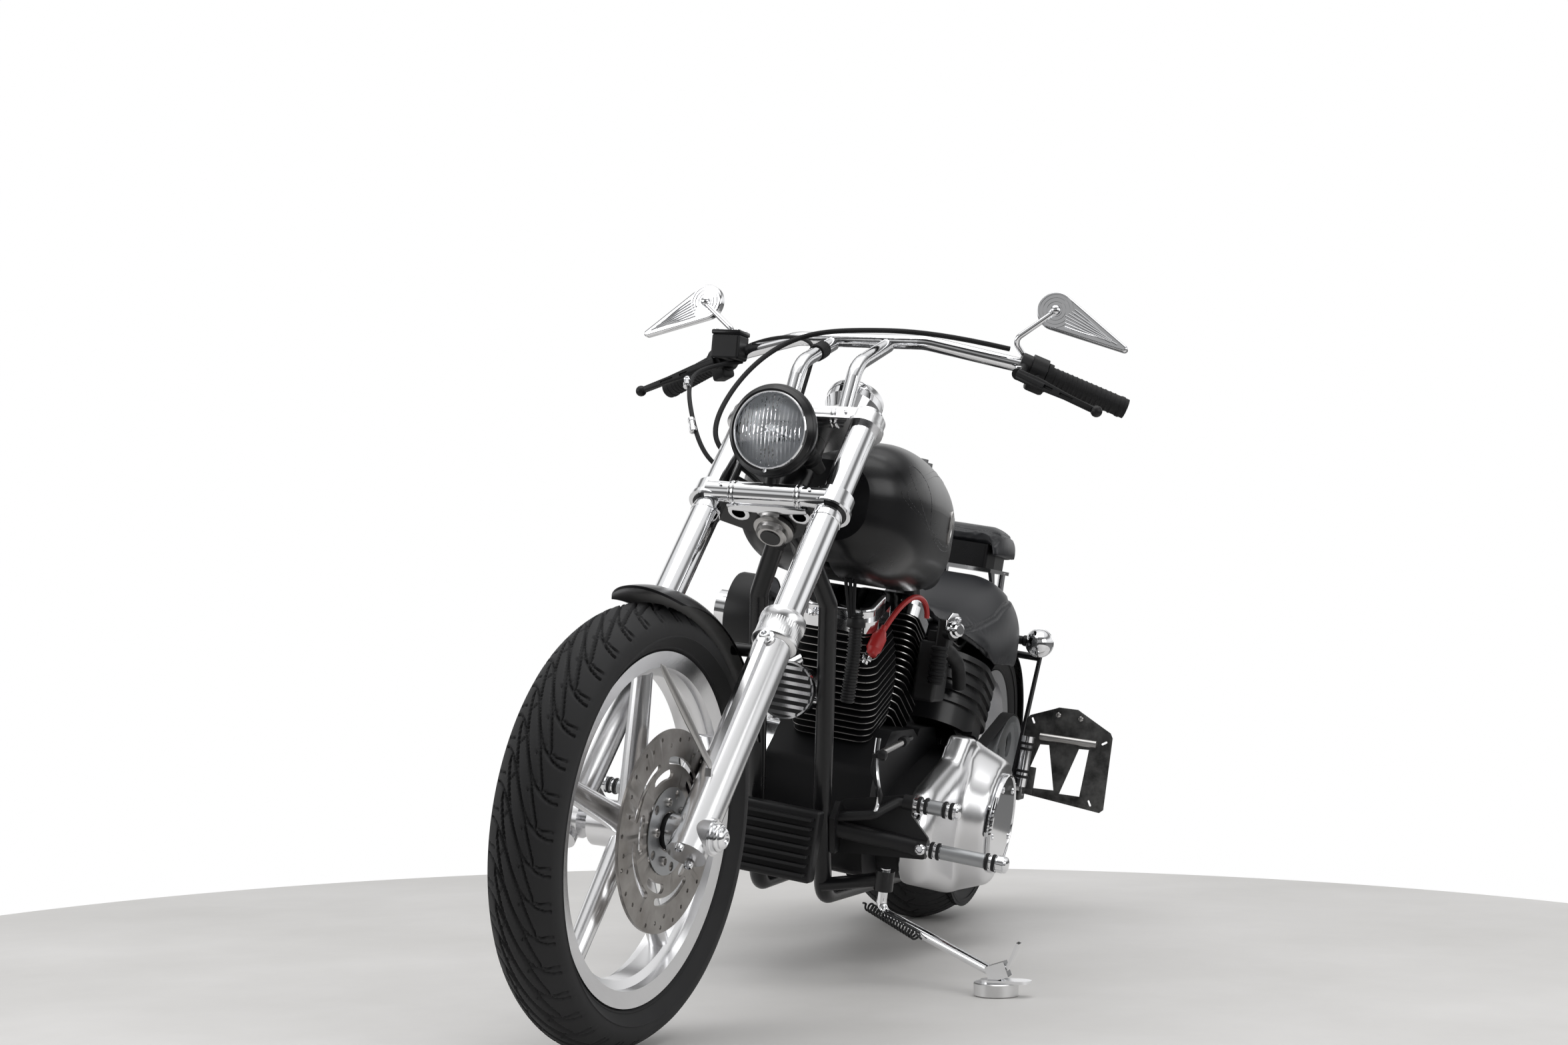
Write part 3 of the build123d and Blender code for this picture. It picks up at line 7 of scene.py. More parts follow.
# %% load the frame
import json
import math
import bmesh
import bpy
from mathutils import Matrix, Quaternion, Vector


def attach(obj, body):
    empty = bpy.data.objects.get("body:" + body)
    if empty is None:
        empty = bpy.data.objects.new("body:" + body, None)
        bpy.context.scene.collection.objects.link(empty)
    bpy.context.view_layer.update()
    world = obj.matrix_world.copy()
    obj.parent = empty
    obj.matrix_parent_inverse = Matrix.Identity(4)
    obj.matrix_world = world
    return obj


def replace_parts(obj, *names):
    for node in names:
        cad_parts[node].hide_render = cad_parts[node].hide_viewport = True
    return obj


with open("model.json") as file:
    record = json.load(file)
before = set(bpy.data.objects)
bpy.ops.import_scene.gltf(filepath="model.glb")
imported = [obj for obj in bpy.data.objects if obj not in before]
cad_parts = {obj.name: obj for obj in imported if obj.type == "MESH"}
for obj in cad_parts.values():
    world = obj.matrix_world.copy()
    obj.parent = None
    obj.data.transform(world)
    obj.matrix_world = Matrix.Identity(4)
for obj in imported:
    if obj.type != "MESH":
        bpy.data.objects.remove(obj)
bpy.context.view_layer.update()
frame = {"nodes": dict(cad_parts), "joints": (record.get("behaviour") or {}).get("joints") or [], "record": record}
print("nodes in the frame:", len(frame["nodes"]))

# %% [markdown]
# ## The bike's own axes
# The bike is parked, so it leans on its stand and its bars are turned a little. Lengths are easier to think of on an
# upright bike: x forward from the rear axle, y to the rider's left, z up from the ground. Two matrices bring such a
# point to where the parked bike has it, one for the frame and one for everything that steers. They are worked out
# from the joints that the frame carries.

# %% axes of the parked bike
WHEELBASE, FRONT_RADIUS, REAR_RADIUS = 1.758, 0.322, 0.3246
joint = {j["name"]: j for j in frame["joints"]}


def axes_from(axle_name, hub):
    """The matrix from upright bike coordinates to the parked ones, for what holds that axle."""
    across = Vector(joint[axle_name]["axis"]).normalized()
    rake = math.radians(36.5)
    head = Vector(joint["steering_head"]["axis"]).normalized()
    side = (across - across.dot(head) * head).normalized()
    front = side.cross(head)
    up = math.cos(rake) * head + math.sin(rake) * front
    ahead = side.cross(up)
    turn = Matrix((ahead, side, up)).transposed().to_4x4()
    return Matrix.Translation(Vector(joint[axle_name]["pos_m"])) @ turn @ Matrix.Translation(-Vector(hub))


parked = axes_from("rear_wheel_axle", (0, 0, REAR_RADIUS))
steered = axes_from("front_wheel_axle", (WHEELBASE, 0, FRONT_RADIUS))
print("rear contact at", parked @ Vector((0, 0, 0)), "front contact at", steered @ Vector((WHEELBASE, 0, 0)))

# %% [markdown]
# ## Camera
# The picture is taken from low down, off the bike's left front, with a short telephoto lens. The camera is described
# as a photographer would: where it stands, which way it points, how far it tips, and its lens.

# %% camera
eye = Vector((3.7649, 1.0569, 0.5433))
heading, tilt, roll = math.radians(198.0227), math.radians(3.943), math.radians(-0.2138)
sight = Vector((math.cos(heading) * math.cos(tilt), math.sin(heading) * math.cos(tilt), math.sin(tilt)))
camera = bpy.data.objects.new("camera", bpy.data.cameras.new("camera"))
bpy.context.scene.collection.objects.link(camera)
camera.location = eye
camera.rotation_mode = "QUATERNION"
camera.rotation_quaternion = sight.to_track_quat("-Z", "Y") @ Quaternion((0, 0, 1), roll)
camera.data.lens = 49.142
camera.data.sensor_width = 36.0
camera.data.sensor_fit = "HORIZONTAL"
camera.data.clip_start = 0.1
bpy.context.scene.camera = camera
bpy.context.scene.view_settings.view_transform = "Standard"

# %% [markdown]
# ## Shader sums as arithmetic
# Blender's shader maths is a tangle of Math nodes. A small class wraps one socket, so a sum of two sockets is written
# `a + b` and the nodes appear by themselves. Anything that isn't arithmetic is asked for by its node type.


# %% shader helpers
class Wire:
    """One output socket that can be used in arithmetic."""
    def __init__(self, finish, socket):
        self.finish, self.socket = finish, socket

    def sum(self, operation, *others):
        return self.finish.node("Math", {"operation": operation}, *((self,) + others))

    def __add__(self, other): return self.sum("ADD", other)
    def __radd__(self, other): return self.sum("ADD", other)
    def __sub__(self, other): return self.sum("SUBTRACT", other)
    def __rsub__(self, other): return self.finish.node("Math", {"operation": "SUBTRACT"}, other, self)
    def __mul__(self, other): return self.sum("MULTIPLY", other)
    def __rmul__(self, other): return self.sum("MULTIPLY", other)
    def __truediv__(self, other): return self.sum("DIVIDE", other)
    def __pow__(self, other): return self.sum("POWER", other)
    def __lt__(self, other): return self.sum("LESS_THAN", other)
    def __gt__(self, other): return self.sum("GREATER_THAN", other)
    def __abs__(self): return self.sum("ABSOLUTE")


class Finish:
    """A material that is built up node by node round one Principled shader."""
    def __init__(self, name, colour=(0.8, 0.8, 0.8), rough=0.5, metal=0.0, **sockets):
        self.material = bpy.data.materials.new(name)
        self.material.use_nodes = True
        self.tree = self.material.node_tree
        self.shader = self.tree.nodes["Principled BSDF"]
        self.set("Base Color", (*colour, 1))
        self.set("Roughness", rough)
        self.set("Metallic", metal)
        for socket, value in sockets.items():
            self.set(socket.replace("_", " ").title().replace("Ior", "IOR"), value)

    def feed(self, socket, value):
        if isinstance(value, Wire):
            self.tree.links.new(value.socket, socket)
        else:
            socket.default_value = value

    def set(self, name, value):
        self.feed(self.shader.inputs[name], value)
        return self

    def node(self, kind, settings=None, *values, out=0, **named):
        """Any node by its type: settings first, then the values or links of its sockets."""
        made = self.tree.nodes.new("ShaderNode" + kind)
        stops = (settings or {}).get("stops")
        for key, value in (settings or {}).items():
            if key != "stops":
                setattr(made, key, value)
        if stops:
            for spare in made.color_ramp.elements[2:]:
                made.color_ramp.elements.remove(spare)
            while len(made.color_ramp.elements) < len(stops):
                made.color_ramp.elements.new(0.5)
            for element, (place, shade) in zip(made.color_ramp.elements, stops):
                element.position = place
                element.color = (shade, shade, shade, 1) if isinstance(shade, (int, float)) else (*shade, 1)
        for socket, value in zip(made.inputs, values):
            self.feed(socket, value)
        for key, value in named.items():
            self.feed(made.inputs[key], value)
        return Wire(self, made.outputs[out])

    def place(self):
        return self.node("TexCoord", out="Object")

    def noise(self, scale, detail=3.0, rough=0.5, where=None):
        return self.node("TexNoise", None, out=0, Vector=where or self.place(), Scale=scale, Detail=detail,
                         Roughness=rough)

    def ramp(self, value, *stops):
        return self.node("ValToRGB", {"stops": stops}, value)

    def bump(self, height, strength, distance=0.001):
        return self.set("Normal", self.node("Bump", None, Height=height, Strength=strength, Distance=distance))


def wear(name, colour, low, high, metal=1.0, scale=14.0, grain=900.0, strength=0.02, **sockets):
    """A metal or paint whose gloss drifts over hand-sized areas, with a very fine grain."""
    finish = Finish(name, colour, high, metal, **sockets)
    drift = finish.noise(scale, 5.0, 0.6)
    finish.set("Roughness", drift * (high - low) + low)
    return finish.bump(finish.noise(grain, 2.0), strength, 0.0002)


# %% [markdown]
# ## Finishes
# Almost everything here is one of four things: plated or polished metal, black paint, black rubber or leather. What
# tells them apart is how they reflect, so each gets its own gloss, and each gloss wanders a little, as on real metal.

# %% metal and paint
chrome = wear("chrome", (0.86, 0.865, 0.88), 0.04, 0.11, strength=0.002)
polished = wear("polished_aluminium", (0.78, 0.78, 0.79), 0.18, 0.28, strength=0.003)
cast = wear("cast_aluminium", (0.42, 0.43, 0.44), 0.34, 0.48, grain=700, strength=0.05)
steel = wear("ground_steel", (0.48, 0.47, 0.46), 0.24, 0.36, strength=0.02)
turned = wear("turned_aluminium", (0.72, 0.72, 0.72), 0.26, 0.36, strength=0.02)
gloss_black = wear("gloss_black_paint", (0.007, 0.007, 0.008), 0.24, 0.33, 0.0, scale=8, strength=0.01,
                   specular_ior_level=0.36, coat_weight=0.08, coat_roughness=0.12)
satin_black = wear("satin_black", (0.009, 0.009, 0.010), 0.38, 0.52, 0.0, strength=0.06, specular_ior_level=0.35)
wrinkle_black = wear("wrinkle_black", (0.006, 0.006, 0.007), 0.50, 0.62, 0.0, grain=900, strength=0.35,
                     specular_ior_level=0.25)
rubber = wear("black_rubber", (0.009, 0.009, 0.010), 0.55, 0.72, 0.0, grain=700, strength=0.15, specular_ior_level=0.35)
tyre_rubber = wear("tyre_rubber", (0.014, 0.014, 0.015), 0.62, 0.80, 0.0, scale=9, grain=500, strength=0.06, specular_ior_level=0.4)
leather = wear("seat_leather", (0.020, 0.021, 0.024), 0.36, 0.48, 0.0, grain=420, strength=0.25)
plastic = wear("black_plastic", (0.010, 0.010, 0.011), 0.42, 0.5, 0.0, grain=1500, strength=0.1)

glass = Finish("lens_glass", (0.97, 0.98, 1.0), 0.03, transmission_weight=1.0, ior=1.45)
slots = {
    "chrome_plate": chrome, "signal_metal": chrome, "polished_aluminium": polished, "cast_aluminium": cast,
    "disc_steel": steel, "turned_aluminium": turned, "gloss_black": gloss_black, "satin_black": satin_black,
    "wrinkle_black": wrinkle_black, "black_rubber": rubber, "tyre_rubber": tyre_rubber, "seat_leather": leather,
    "black_plastic": plastic, "clear_glass": glass}
for part in frame["record"]["subparts"]:
    mesh = frame["nodes"][part["node"]].data
    mesh.materials.clear()
    mesh.materials.append(slots[part["material_slot"]].material)
print("finishes:", ", ".join(sorted({f.material.name for f in slots.values()})))

# %% [markdown]
# ## Floor, backdrop and light
# A pale floor and a white sweep behind it. Large soft panels light the bike at a plain level. Chrome shows whatever
# is round it, so the world is bright above and at the sides and grey lower down, and the camera sees it as white.

# %% floor and light
bpy.ops.object.select_all(action="DESELECT")
bpy.ops.mesh.primitive_circle_add(vertices=160, radius=2.05, fill_type="NGON", location=(0.02, -0.10, -0.0005))
floor = bpy.context.object
floor.name = "floor"
concrete = Finish("pale_floor", (0.62, 0.61, 0.60), 0.5)
patch = concrete.noise(1.3, 8.0, 0.62)
concrete.set("Base Color", concrete.ramp(patch, (0.30, (0.60, 0.59, 0.575)), (0.70, (0.72, 0.71, 0.70))))
concrete.set("Roughness", patch * 0.2 + 0.42)
floor.data.materials.append(concrete.material)

world = bpy.data.worlds.new("studio")
bpy.context.scene.world = world
world.use_nodes = True
sky = Finish.__new__(Finish)
sky.tree = world.node_tree
path = sky.tree.nodes.new("ShaderNodeLightPath")
sky.shader = sky.tree.nodes["Background"]
around = sky.node("TexCoord", out="Generated")
height = sky.node("SeparateXYZ", None, around, out=2)
band = sky.ramp(height * 0.5 + 0.5, (0.0, 0.30), (0.46, 0.16), (0.50, 0.10), (0.525, 0.62), (0.60, 1.0), (0.68, 0.92),
                (0.74, 0.26), (0.80, 0.18), (0.86, 0.85), (1.0, 1.0))
toward_front = sky.node("VectorMath", {"operation": "DOT_PRODUCT"}, around, (0.951, 0.309, 0.0), out=1)
dim_front = sky.ramp(toward_front, (0.0, 1.0), (0.55, 0.92), (0.80, 0.42), (1.0, 0.30))
room = sky.node("MixRGB", {"blend_type": "MULTIPLY"}, 1.0, band, dim_front)
seen = Wire(sky, path.outputs["Is Camera Ray"])
mixed = sky.node("MixRGB", None, seen, room, (1, 1, 1, 1))
sky.set("Color", mixed)
sky.set("Strength", 1.0)


def panel(name, place, aim, size, power):
    """A soft rectangular lamp that looks at a point."""
    lamp = bpy.data.objects.new(name, bpy.data.lights.new(name, "AREA"))
    bpy.context.scene.collection.objects.link(lamp)
    lamp.data.shape = "RECTANGLE"
    lamp.data.size, lamp.data.size_y = size
    lamp.data.energy = power
    lamp.location = place
    lamp.rotation_mode = "QUATERNION"
    lamp.rotation_quaternion = (Vector(aim) - Vector(place)).to_track_quat("-Z", "Y")
    return lamp


panel("top_panel", (0.4, 0.2, 4.2), (0.1, 0.0, 0.4), (4.5, 3.0), 60)
panel("left_panel", (2.2, 4.0, 2.2), (0.1, 0.2, 0.5), (3.0, 2.2), 45)
panel("right_panel", (2.8, -3.2, 1.8), (0.2, 0.0, 0.5), (2.4, 2.0), 30)

# %% [markdown]
# ## A small workshop
# Every added piece starts as a primitive, gets its shape in edit mode, and is then set in place. The same few moves
# come back all the time, so they are written once: turn a profile on a lathe, bend a bar along points, cut a plate
# from an outline. Pieces are drawn in millimetres beside the origin, and `fit` carries them onto the parked bike.


# %% lathe, bar, plate
def fresh(kind, name, **size):
    """Add a primitive with nothing else selected."""
    bpy.ops.object.select_all(action="DESELECT")
    getattr(bpy.ops.mesh, "primitive_" + kind + "_add")(**size)
    made = bpy.context.object
    made.name = made.data.name = name
    return made


def pick(piece, kind, test):
    """Open a piece's mesh with only the elements selected that pass a test."""
    bpy.context.view_layer.objects.active = piece
    bpy.ops.object.mode_set(mode="EDIT")
    bpy.ops.mesh.select_mode(type=kind)
    bpy.ops.mesh.select_all(action="DESELECT")
    shape = bmesh.from_edit_mesh(piece.data)
    for item in {"VERT": shape.verts, "EDGE": shape.edges, "FACE": shape.faces}[kind]:
        if test(item):
            item.select_set(True)
    bmesh.update_edit_mesh(piece.data)


def close_mesh(piece, gap=0.001):
    """Merge doubles and point every face outwards."""
    pick(piece, "FACE", lambda face: True)
    bpy.ops.mesh.remove_doubles(threshold=gap)
    bpy.ops.mesh.normals_make_consistent(inside=False)
    bpy.ops.object.mode_set(mode="OBJECT")
    return piece


def lathe(name, profile, steps=40):
    """A turned piece on Z: a disc, extruded and resized through each (radius, height)."""
    radius, height = profile[0]
    made = fresh("circle", name, vertices=steps, radius=radius, location=(0, 0, height), fill_type="NGON")
    bpy.ops.object.transform_apply()
    pick(made, "FACE", lambda face: True)
    for wider, higher in profile[1:]:
        bpy.ops.mesh.extrude_region_move(TRANSFORM_OT_translate={"value": (0, 0, higher - height)})
        bpy.ops.transform.resize(value=(wider / radius, wider / radius, 1), center_override=(0, 0, higher))
        radius, height = wider, higher
    bpy.ops.object.mode_set(mode="OBJECT")
    return close_mesh(made)


def ring(name, profile, steps=64):
    """A turned ring: the profile's corners as an edge loop, spun once round Z."""
    made = fresh("circle", name, vertices=len(profile), radius=1, fill_type="NOTHING")
    for corner, (radius, height) in zip(made.data.vertices, profile):
        corner.co = (radius, 0, height)
    pick(made, "EDGE", lambda edge: True)
    bpy.ops.mesh.spin(steps=steps, angle=math.tau, center=(0, 0, 0), axis=(0, 0, 1))
    bpy.ops.object.mode_set(mode="OBJECT")
    return close_mesh(made)


def plate(name, outline, thick, round_edge=0.0):
    """A flat piece cut from an outline in X and Y, with its rim softened."""
    made = fresh("circle", name, vertices=len(outline), radius=1, fill_type="NGON")
    for corner, (x, y) in zip(made.data.vertices, outline):
        corner.co = (x, y, 0)
    pick(made, "FACE", lambda face: True)
    bpy.ops.mesh.extrude_region_move(TRANSFORM_OT_translate={"value": (0, 0, thick)})
    bpy.ops.object.mode_set(mode="OBJECT")
    close_mesh(made)
    return soften(made, round_edge) if round_edge else made


def soften(piece, width, segments=2, angle=35):
    """Round the edges that are sharper than an angle."""
    bevel = piece.modifiers.new("soft edges", "BEVEL")
    bevel.width, bevel.segments, bevel.angle_limit = width, segments, math.radians(angle)
    return apply_all(piece)


def apply_all(piece):
    bpy.context.view_layer.objects.active = piece
    for modifier in list(piece.modifiers):
        bpy.ops.object.modifier_apply(modifier=modifier.name)
    return piece


def cable(name, points, radius, sides=10, order=4):
    """A round bar that follows points: a path curve with a bevel, made a mesh."""
    bpy.ops.object.select_all(action="DESELECT")
    bpy.ops.curve.primitive_nurbs_path_add()
    made = bpy.context.object
    made.name = name
    made.data.splines.clear()
    line = made.data.splines.new("NURBS")
    line.points.add(len(points) - 1)
    for spot, point in zip(line.points, points):
        spot.co = (*point, 1)
    line.order_u, line.use_endpoint_u, line.resolution_u = min(order, len(points)), True, 8
    made.data.bevel_depth, made.data.bevel_resolution = radius, max(1, sides // 4)
    made.data.use_fill_caps = True
    bpy.ops.object.convert(target="MESH")
    return close_mesh(bpy.context.object)


def box(name, size, width=0.0):
    """A block about the origin with softened edges."""
    made = fresh("cube", name, size=1)
    made.scale = size
    bpy.ops.object.transform_apply()
    return soften(made, width) if width else made


def joined(name, pieces):
    """Several meshes as one piece."""
    bpy.ops.object.select_all(action="DESELECT")
    for piece in pieces:
        piece.select_set(True)
    bpy.context.view_layer.objects.active = pieces[0]
    bpy.ops.object.join()
    pieces[0].name = pieces[0].data.name = name
    return pieces[0]


def repeated(piece, places):
    """Copies of a piece at each matrix, as one piece. The first one is the pattern and goes."""
    made = []
    for place in places:
        copy = bpy.data.objects.new(piece.name, piece.data.copy())
        bpy.context.scene.collection.objects.link(copy)
        copy.data.transform(place)
        made.append(copy)
    name = piece.name
    bpy.data.objects.remove(piece)
    return joined(name, made)


def aim(point, axis=(0, 0, 1), across=(1, 0, 0)):
    """Where a piece goes on the upright bike: its own Z along axis, its X towards across."""
    z = Vector(axis).normalized()
    x = Vector(across)
    if abs(x.normalized().dot(z)) > 0.99:
        x = Vector((0, 1, 0))
    x = (x - x.dot(z) * z).normalized()
    return Matrix.Translation(Vector(point)) @ Matrix((x, z.cross(x), z)).transposed().to_4x4()


STEERED = ("steering", "front_wheel_set")


def fit(piece, finish, body, place=Matrix.Identity(4), smooth=35):
    """Carry a piece onto the parked bike, give it its finish and let it ride on a body."""
    frame_of = steered if body in STEERED else parked
    piece.data.transform(frame_of @ Matrix.Scale(0.001, 4) @ place)
    piece.data.materials.clear()
    piece.data.materials.append(finish.material)
    bpy.ops.object.select_all(action="DESELECT")
    piece.select_set(True)
    bpy.context.view_layer.objects.active = piece
    bpy.ops.object.shade_smooth_by_angle(angle=math.radians(smooth))
    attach(piece, body)
    print(piece.name, len(piece.data.polygons), "faces")
    return piece


# %% [markdown]
# ## Tyres
# A tyre is a ring of rubber with grooves moulded into its crown. One cross-section is spun round the axle in steps
# fine enough for a groove, and then the vertices that lie in a groove are pushed towards the axle. A bump map would
# leave the outline smooth, and the notched outline is what makes a tread look real.


# %% tyre helper
import numpy


def tyre(name, outer, width, rim, rim_width, wall, steps, across, pattern, depth):
    """A hollow tyre round Z with grooves where pattern(along, across) is more than nothing."""
    crown, bead = width / 2, rim_width / 2 - 6
    widest, shoulder, lip = (outer + rim) / 2 - 4, outer - crown * 0.42, crown * 0.9
    sag = outer - shoulder
    outline = [(outer - sag * abs(y / lip) ** 2.1, y) for y in numpy.linspace(-lip, lip, across)]
    side = [(shoulder - 4, lip + (crown - lip) * 0.55), (shoulder - 10, crown - 0.6), (widest, crown),
            (widest - 6, crown - 0.6), (widest - 7.5, crown + 0.6), (widest - 9, crown - 1.4), (rim + 14, bead + 14),
            (rim + 7, bead + 8), (rim + 5, bead + 8.4), (rim + 3, bead + 6), (rim + 1, bead), (rim - 14, bead),
            (rim - 14, bead - wall), (rim + 1, bead - wall), (rim + 14, bead + 14 - wall), (widest, crown - wall),
            (shoulder - wall, lip - wall), (outer - wall - sag * 0.3, lip * 0.5)]
    lower = [(radius, -y) for radius, y in reversed(side)]
    made = ring(name, outline + side + lower, steps)
    spots = numpy.empty(len(made.data.vertices) * 3)
    made.data.vertices.foreach_get("co", spots)
    spots = spots.reshape(-1, 3)
    radius = numpy.hypot(spots[:, 0], spots[:, 1])
    along = numpy.arctan2(spots[:, 1], spots[:, 0]) * outer
    y = spots[:, 2]
    surface = outer - sag * numpy.abs(y / lip) ** 2.1
    tread = (numpy.abs(y) <= lip + 0.01) & (radius > surface - 2)
    sunk = numpy.where(tread, pattern(along, y, math.tau * outer, lip), 0) * depth
    spots[:, :2] *= ((radius - sunk) / radius)[:, None]
    made.data.vertices.foreach_set("co", spots.ravel())
    made.data.update()
    return made


def groove(distance, half, edge=1.6):
    """1 in a groove, 0 outside it, with sloped walls."""
    return numpy.clip((half + edge / 2 - numpy.abs(distance)) / edge, 0, 1)


def between(value, low, high, edge=1.5):
    return numpy.clip((value - low) / edge, 0, 1) * numpy.clip((high - value) / edge, 0, 1)


def swept_tread(count, half, start, turn):
    """Long grooves that leave the middle at a slant and turn square to the shoulder, with short ones between them."""
    def pattern(along, y, around, lip):
        pitch = around / count
        deepest = numpy.zeros_like(y)
        for side in (1, -1):
            out = side * y
            reach = numpy.clip(1 - out / lip, 0, 1.6)
            line = turn * (1 - reach ** 2)
            slope = 2 * turn * reach / lip
            offset = (side * along + pitch * (0.25 if side > 0 else 0.75) - line + pitch / 2) % pitch - pitch / 2
            long_one = groove(offset / numpy.sqrt(1 + slope ** 2), half) * between(out, start, lip * 1.01)
            offset = (side * along + pitch * 0.75 - 0.4 * line + pitch / 2) % pitch - pitch / 2
            edge_one = groove(offset, half * 0.8) * between(out, lip * 0.62, lip * 1.01)
            offset = (side * along + pitch * 0.95 + 0.7 * line + pitch / 2) % pitch - pitch / 2
            dash = groove(offset / 1.3, half * 0.55) * between(out, lip * 0.20, lip * 0.46)
            deepest = numpy.maximum(deepest, numpy.maximum(long_one, numpy.maximum(edge_one, dash)))
        return deepest
    return pattern


AXLE_FRONT, AXLE_REAR = (1758, 0, 322), (0, 0, 324.6)

# %% front and rear tyre
front_tyre = tyre("front_tyre_tread", 322, 107, 255, 74, 9, 840, 48, swept_tread(40, 1.7, -30, 62), 4.6)
fit(front_tyre, tyre_rubber, "front_wheel_set", aim(AXLE_FRONT, (0, 1, 0)))
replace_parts(front_tyre, "front_tyre")
rear_tyre = tyre("rear_tyre_tread", 324.6, 240, 242, 214, 11, 640, 70, swept_tread(34, 2.4, -34, 96), 4.6)
fit(rear_tyre, tyre_rubber, "rear_wheel_set", aim(AXLE_REAR, (0, 1, 0)))
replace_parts(rear_tyre, "rear_tyre")

# %% [markdown]
# ## Front brake disc
# The disc is one sheet of steel: a drilled band for the pads, long curved windows inside it, and a carrier bolted to
# the hub. A ring is turned first, and the holes are then cut in one go by a Boolean with a cutter that holds them
# all, which is quicker and cleaner than cutting them one at a time.


# %% drilled disc
def arc_cutter(radius, half_width, start, end, thick, steps=14):
    """A curved slot with round ends, as a solid to cut with."""
    angles = [math.radians(start + (end - start) * k / steps) for k in range(steps + 1)]
    outline = [((radius + half_width) * math.cos(a), (radius + half_width) * math.sin(a)) for a in angles]
    last, first = angles[-1], angles[0]
    outline += [(radius * math.cos(last) + half_width * math.cos(last + b), radius * math.sin(last) + half_width * math.sin(last + b))
                for b in (math.radians(d) for d in (45, 90, 135))]
    outline += [((radius - half_width) * math.cos(a), (radius - half_width) * math.sin(a)) for a in reversed(angles)]
    outline += [(radius * math.cos(first) + half_width * math.cos(first + b), radius * math.sin(first) + half_width * math.sin(first + b))
                for b in (math.radians(d) for d in (225, 270, 315))]
    made = plate("cutter", outline, thick)
    made.data.transform(Matrix.Translation((0, 0, -thick / 2)))
    return made


def hole_cutter(radius, thick, places, sides=14):
    made = fresh("cylinder", "cutter", vertices=sides, radius=radius, depth=thick)
    return repeated(made, [Matrix.Translation((x, y, 0)) for x, y in places])


def round_places(radius, angles):
    return [(radius * math.cos(math.radians(a)), radius * math.sin(math.radians(a))) for a in angles]


def cut(piece, cutters):
    """Take cutters away from a piece."""
    for cutter in cutters:
        boolean = piece.modifiers.new("cut", "BOOLEAN")
        boolean.operation, boolean.object, boolean.solver = "DIFFERENCE", cutter, "EXACT"
        apply_all(piece)
        bpy.data.objects.remove(cutter)
    return piece


band = [(146, -2.5), (146, 2.5), (28, 2.5), (28, -2.5)]
drilled = ring("drilled_brake_disc", band, 96)
cut(drilled, [
    hole_cutter(3.2, 9, round_places(137, range(0, 360, 36)) + round_places(131, range(12, 372, 36))
                + round_places(123, range(24, 384, 36)) + round_places(138, range(20, 380, 72))),
    repeated(arc_cutter(101, 5.5, 8, 60, 9), [Matrix.Rotation(math.radians(72 * k), 4, "Z") for k in range(5)]),
    repeated(arc_cutter(82, 7, -14, 16, 9), [Matrix.Rotation(math.radians(72 * k), 4, "Z") for k in range(5)]),
    hole_cutter(6, 9, round_places(60, range(36, 396, 72)))])
soften(drilled, 0.5, 1)
disc_steel = Finish("brake_disc_steel", (0.30, 0.285, 0.27), 0.34, 1.0)
heat = disc_steel.noise(26.0, 4.0, 0.55)
disc_steel.set("Base Color", disc_steel.ramp(heat, (0.35, (0.25, 0.235, 0.22)), (0.65, (0.36, 0.345, 0.33))))
disc_steel.set("Roughness", heat * 0.16 + 0.26)
fit(drilled, disc_steel, "front_wheel_set", aim((1758, 61, 322), (0, 1, 0)))
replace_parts(drilled, "front_brake_disc")
carrier_face = ring("disc_carrier", [(62, 0), (63, 1), (63, 2.2), (30, 2.2), (30, 0)], 72)
cut(carrier_face, [hole_cutter(7, 9, round_places(54, range(36, 396, 72)))])
fit(carrier_face, cast, "front_wheel_set", aim((1758, 63.5, 322), (0, 1, 0)))

# %% [markdown]
# ## Screws
# Screws are everywhere on a motorcycle and they catch the light, so one good one is made and copied. Its head is a
# lathe piece with a rounded rim, and its socket is the top face, inset and pushed down.


# %% screw pattern
def socket_screw(name, radius, height, dome=0.0):
    """A round head with a round socket."""
    head = lathe(name, [(radius * 0.98, 0), (radius, height * 0.2), (radius, height * 0.8),
                        (radius * 0.88, height + dome * 0.4), (radius * 0.62, height + dome)], 24)
    top = height + dome
    pick(head, "FACE", lambda face: face.normal.z > 0.9 and face.calc_center_median().z > top - 0.01)
    bpy.ops.mesh.extrude_region_move(TRANSFORM_OT_translate={"value": (0, 0, -height * 0.02)})
    bpy.ops.transform.resize(value=(0.84, 0.84, 1), center_override=(0, 0, top))
    bpy.ops.mesh.extrude_region_move(TRANSFORM_OT_translate={"value": (0, 0, -height * 0.6)})
    bpy.ops.transform.resize(value=(0.86, 0.86, 1), center_override=(0, 0, top))
    bpy.ops.object.mode_set(mode="OBJECT")
    return head


carrier_bolts = repeated(socket_screw("disc_bolts", 7, 6), [Matrix.Translation((x, y, 0)) for x, y in round_places(44, range(0, 360, 72))])
fit(carrier_bolts, steel, "front_wheel_set", aim((1758, 65, 322), (0, 1, 0)))
spacer = lathe("hub_spacer", [(24, 0), (26, 1), (26, 20), (22, 22), (20, 30), (14, 31)])
fit(spacer, satin_black, "front_wheel_set", aim((1758, 62, 322), (0, 1, 0)))

# %% [markdown]
# ## Headlamp
# A lamp shows three things through each other: fluted glass, a mirror bowl, and a small cap in front of the bulb.
# The flutes are real ripples on the inside of the glass, because a ripple bends the light and a bump only shades it.

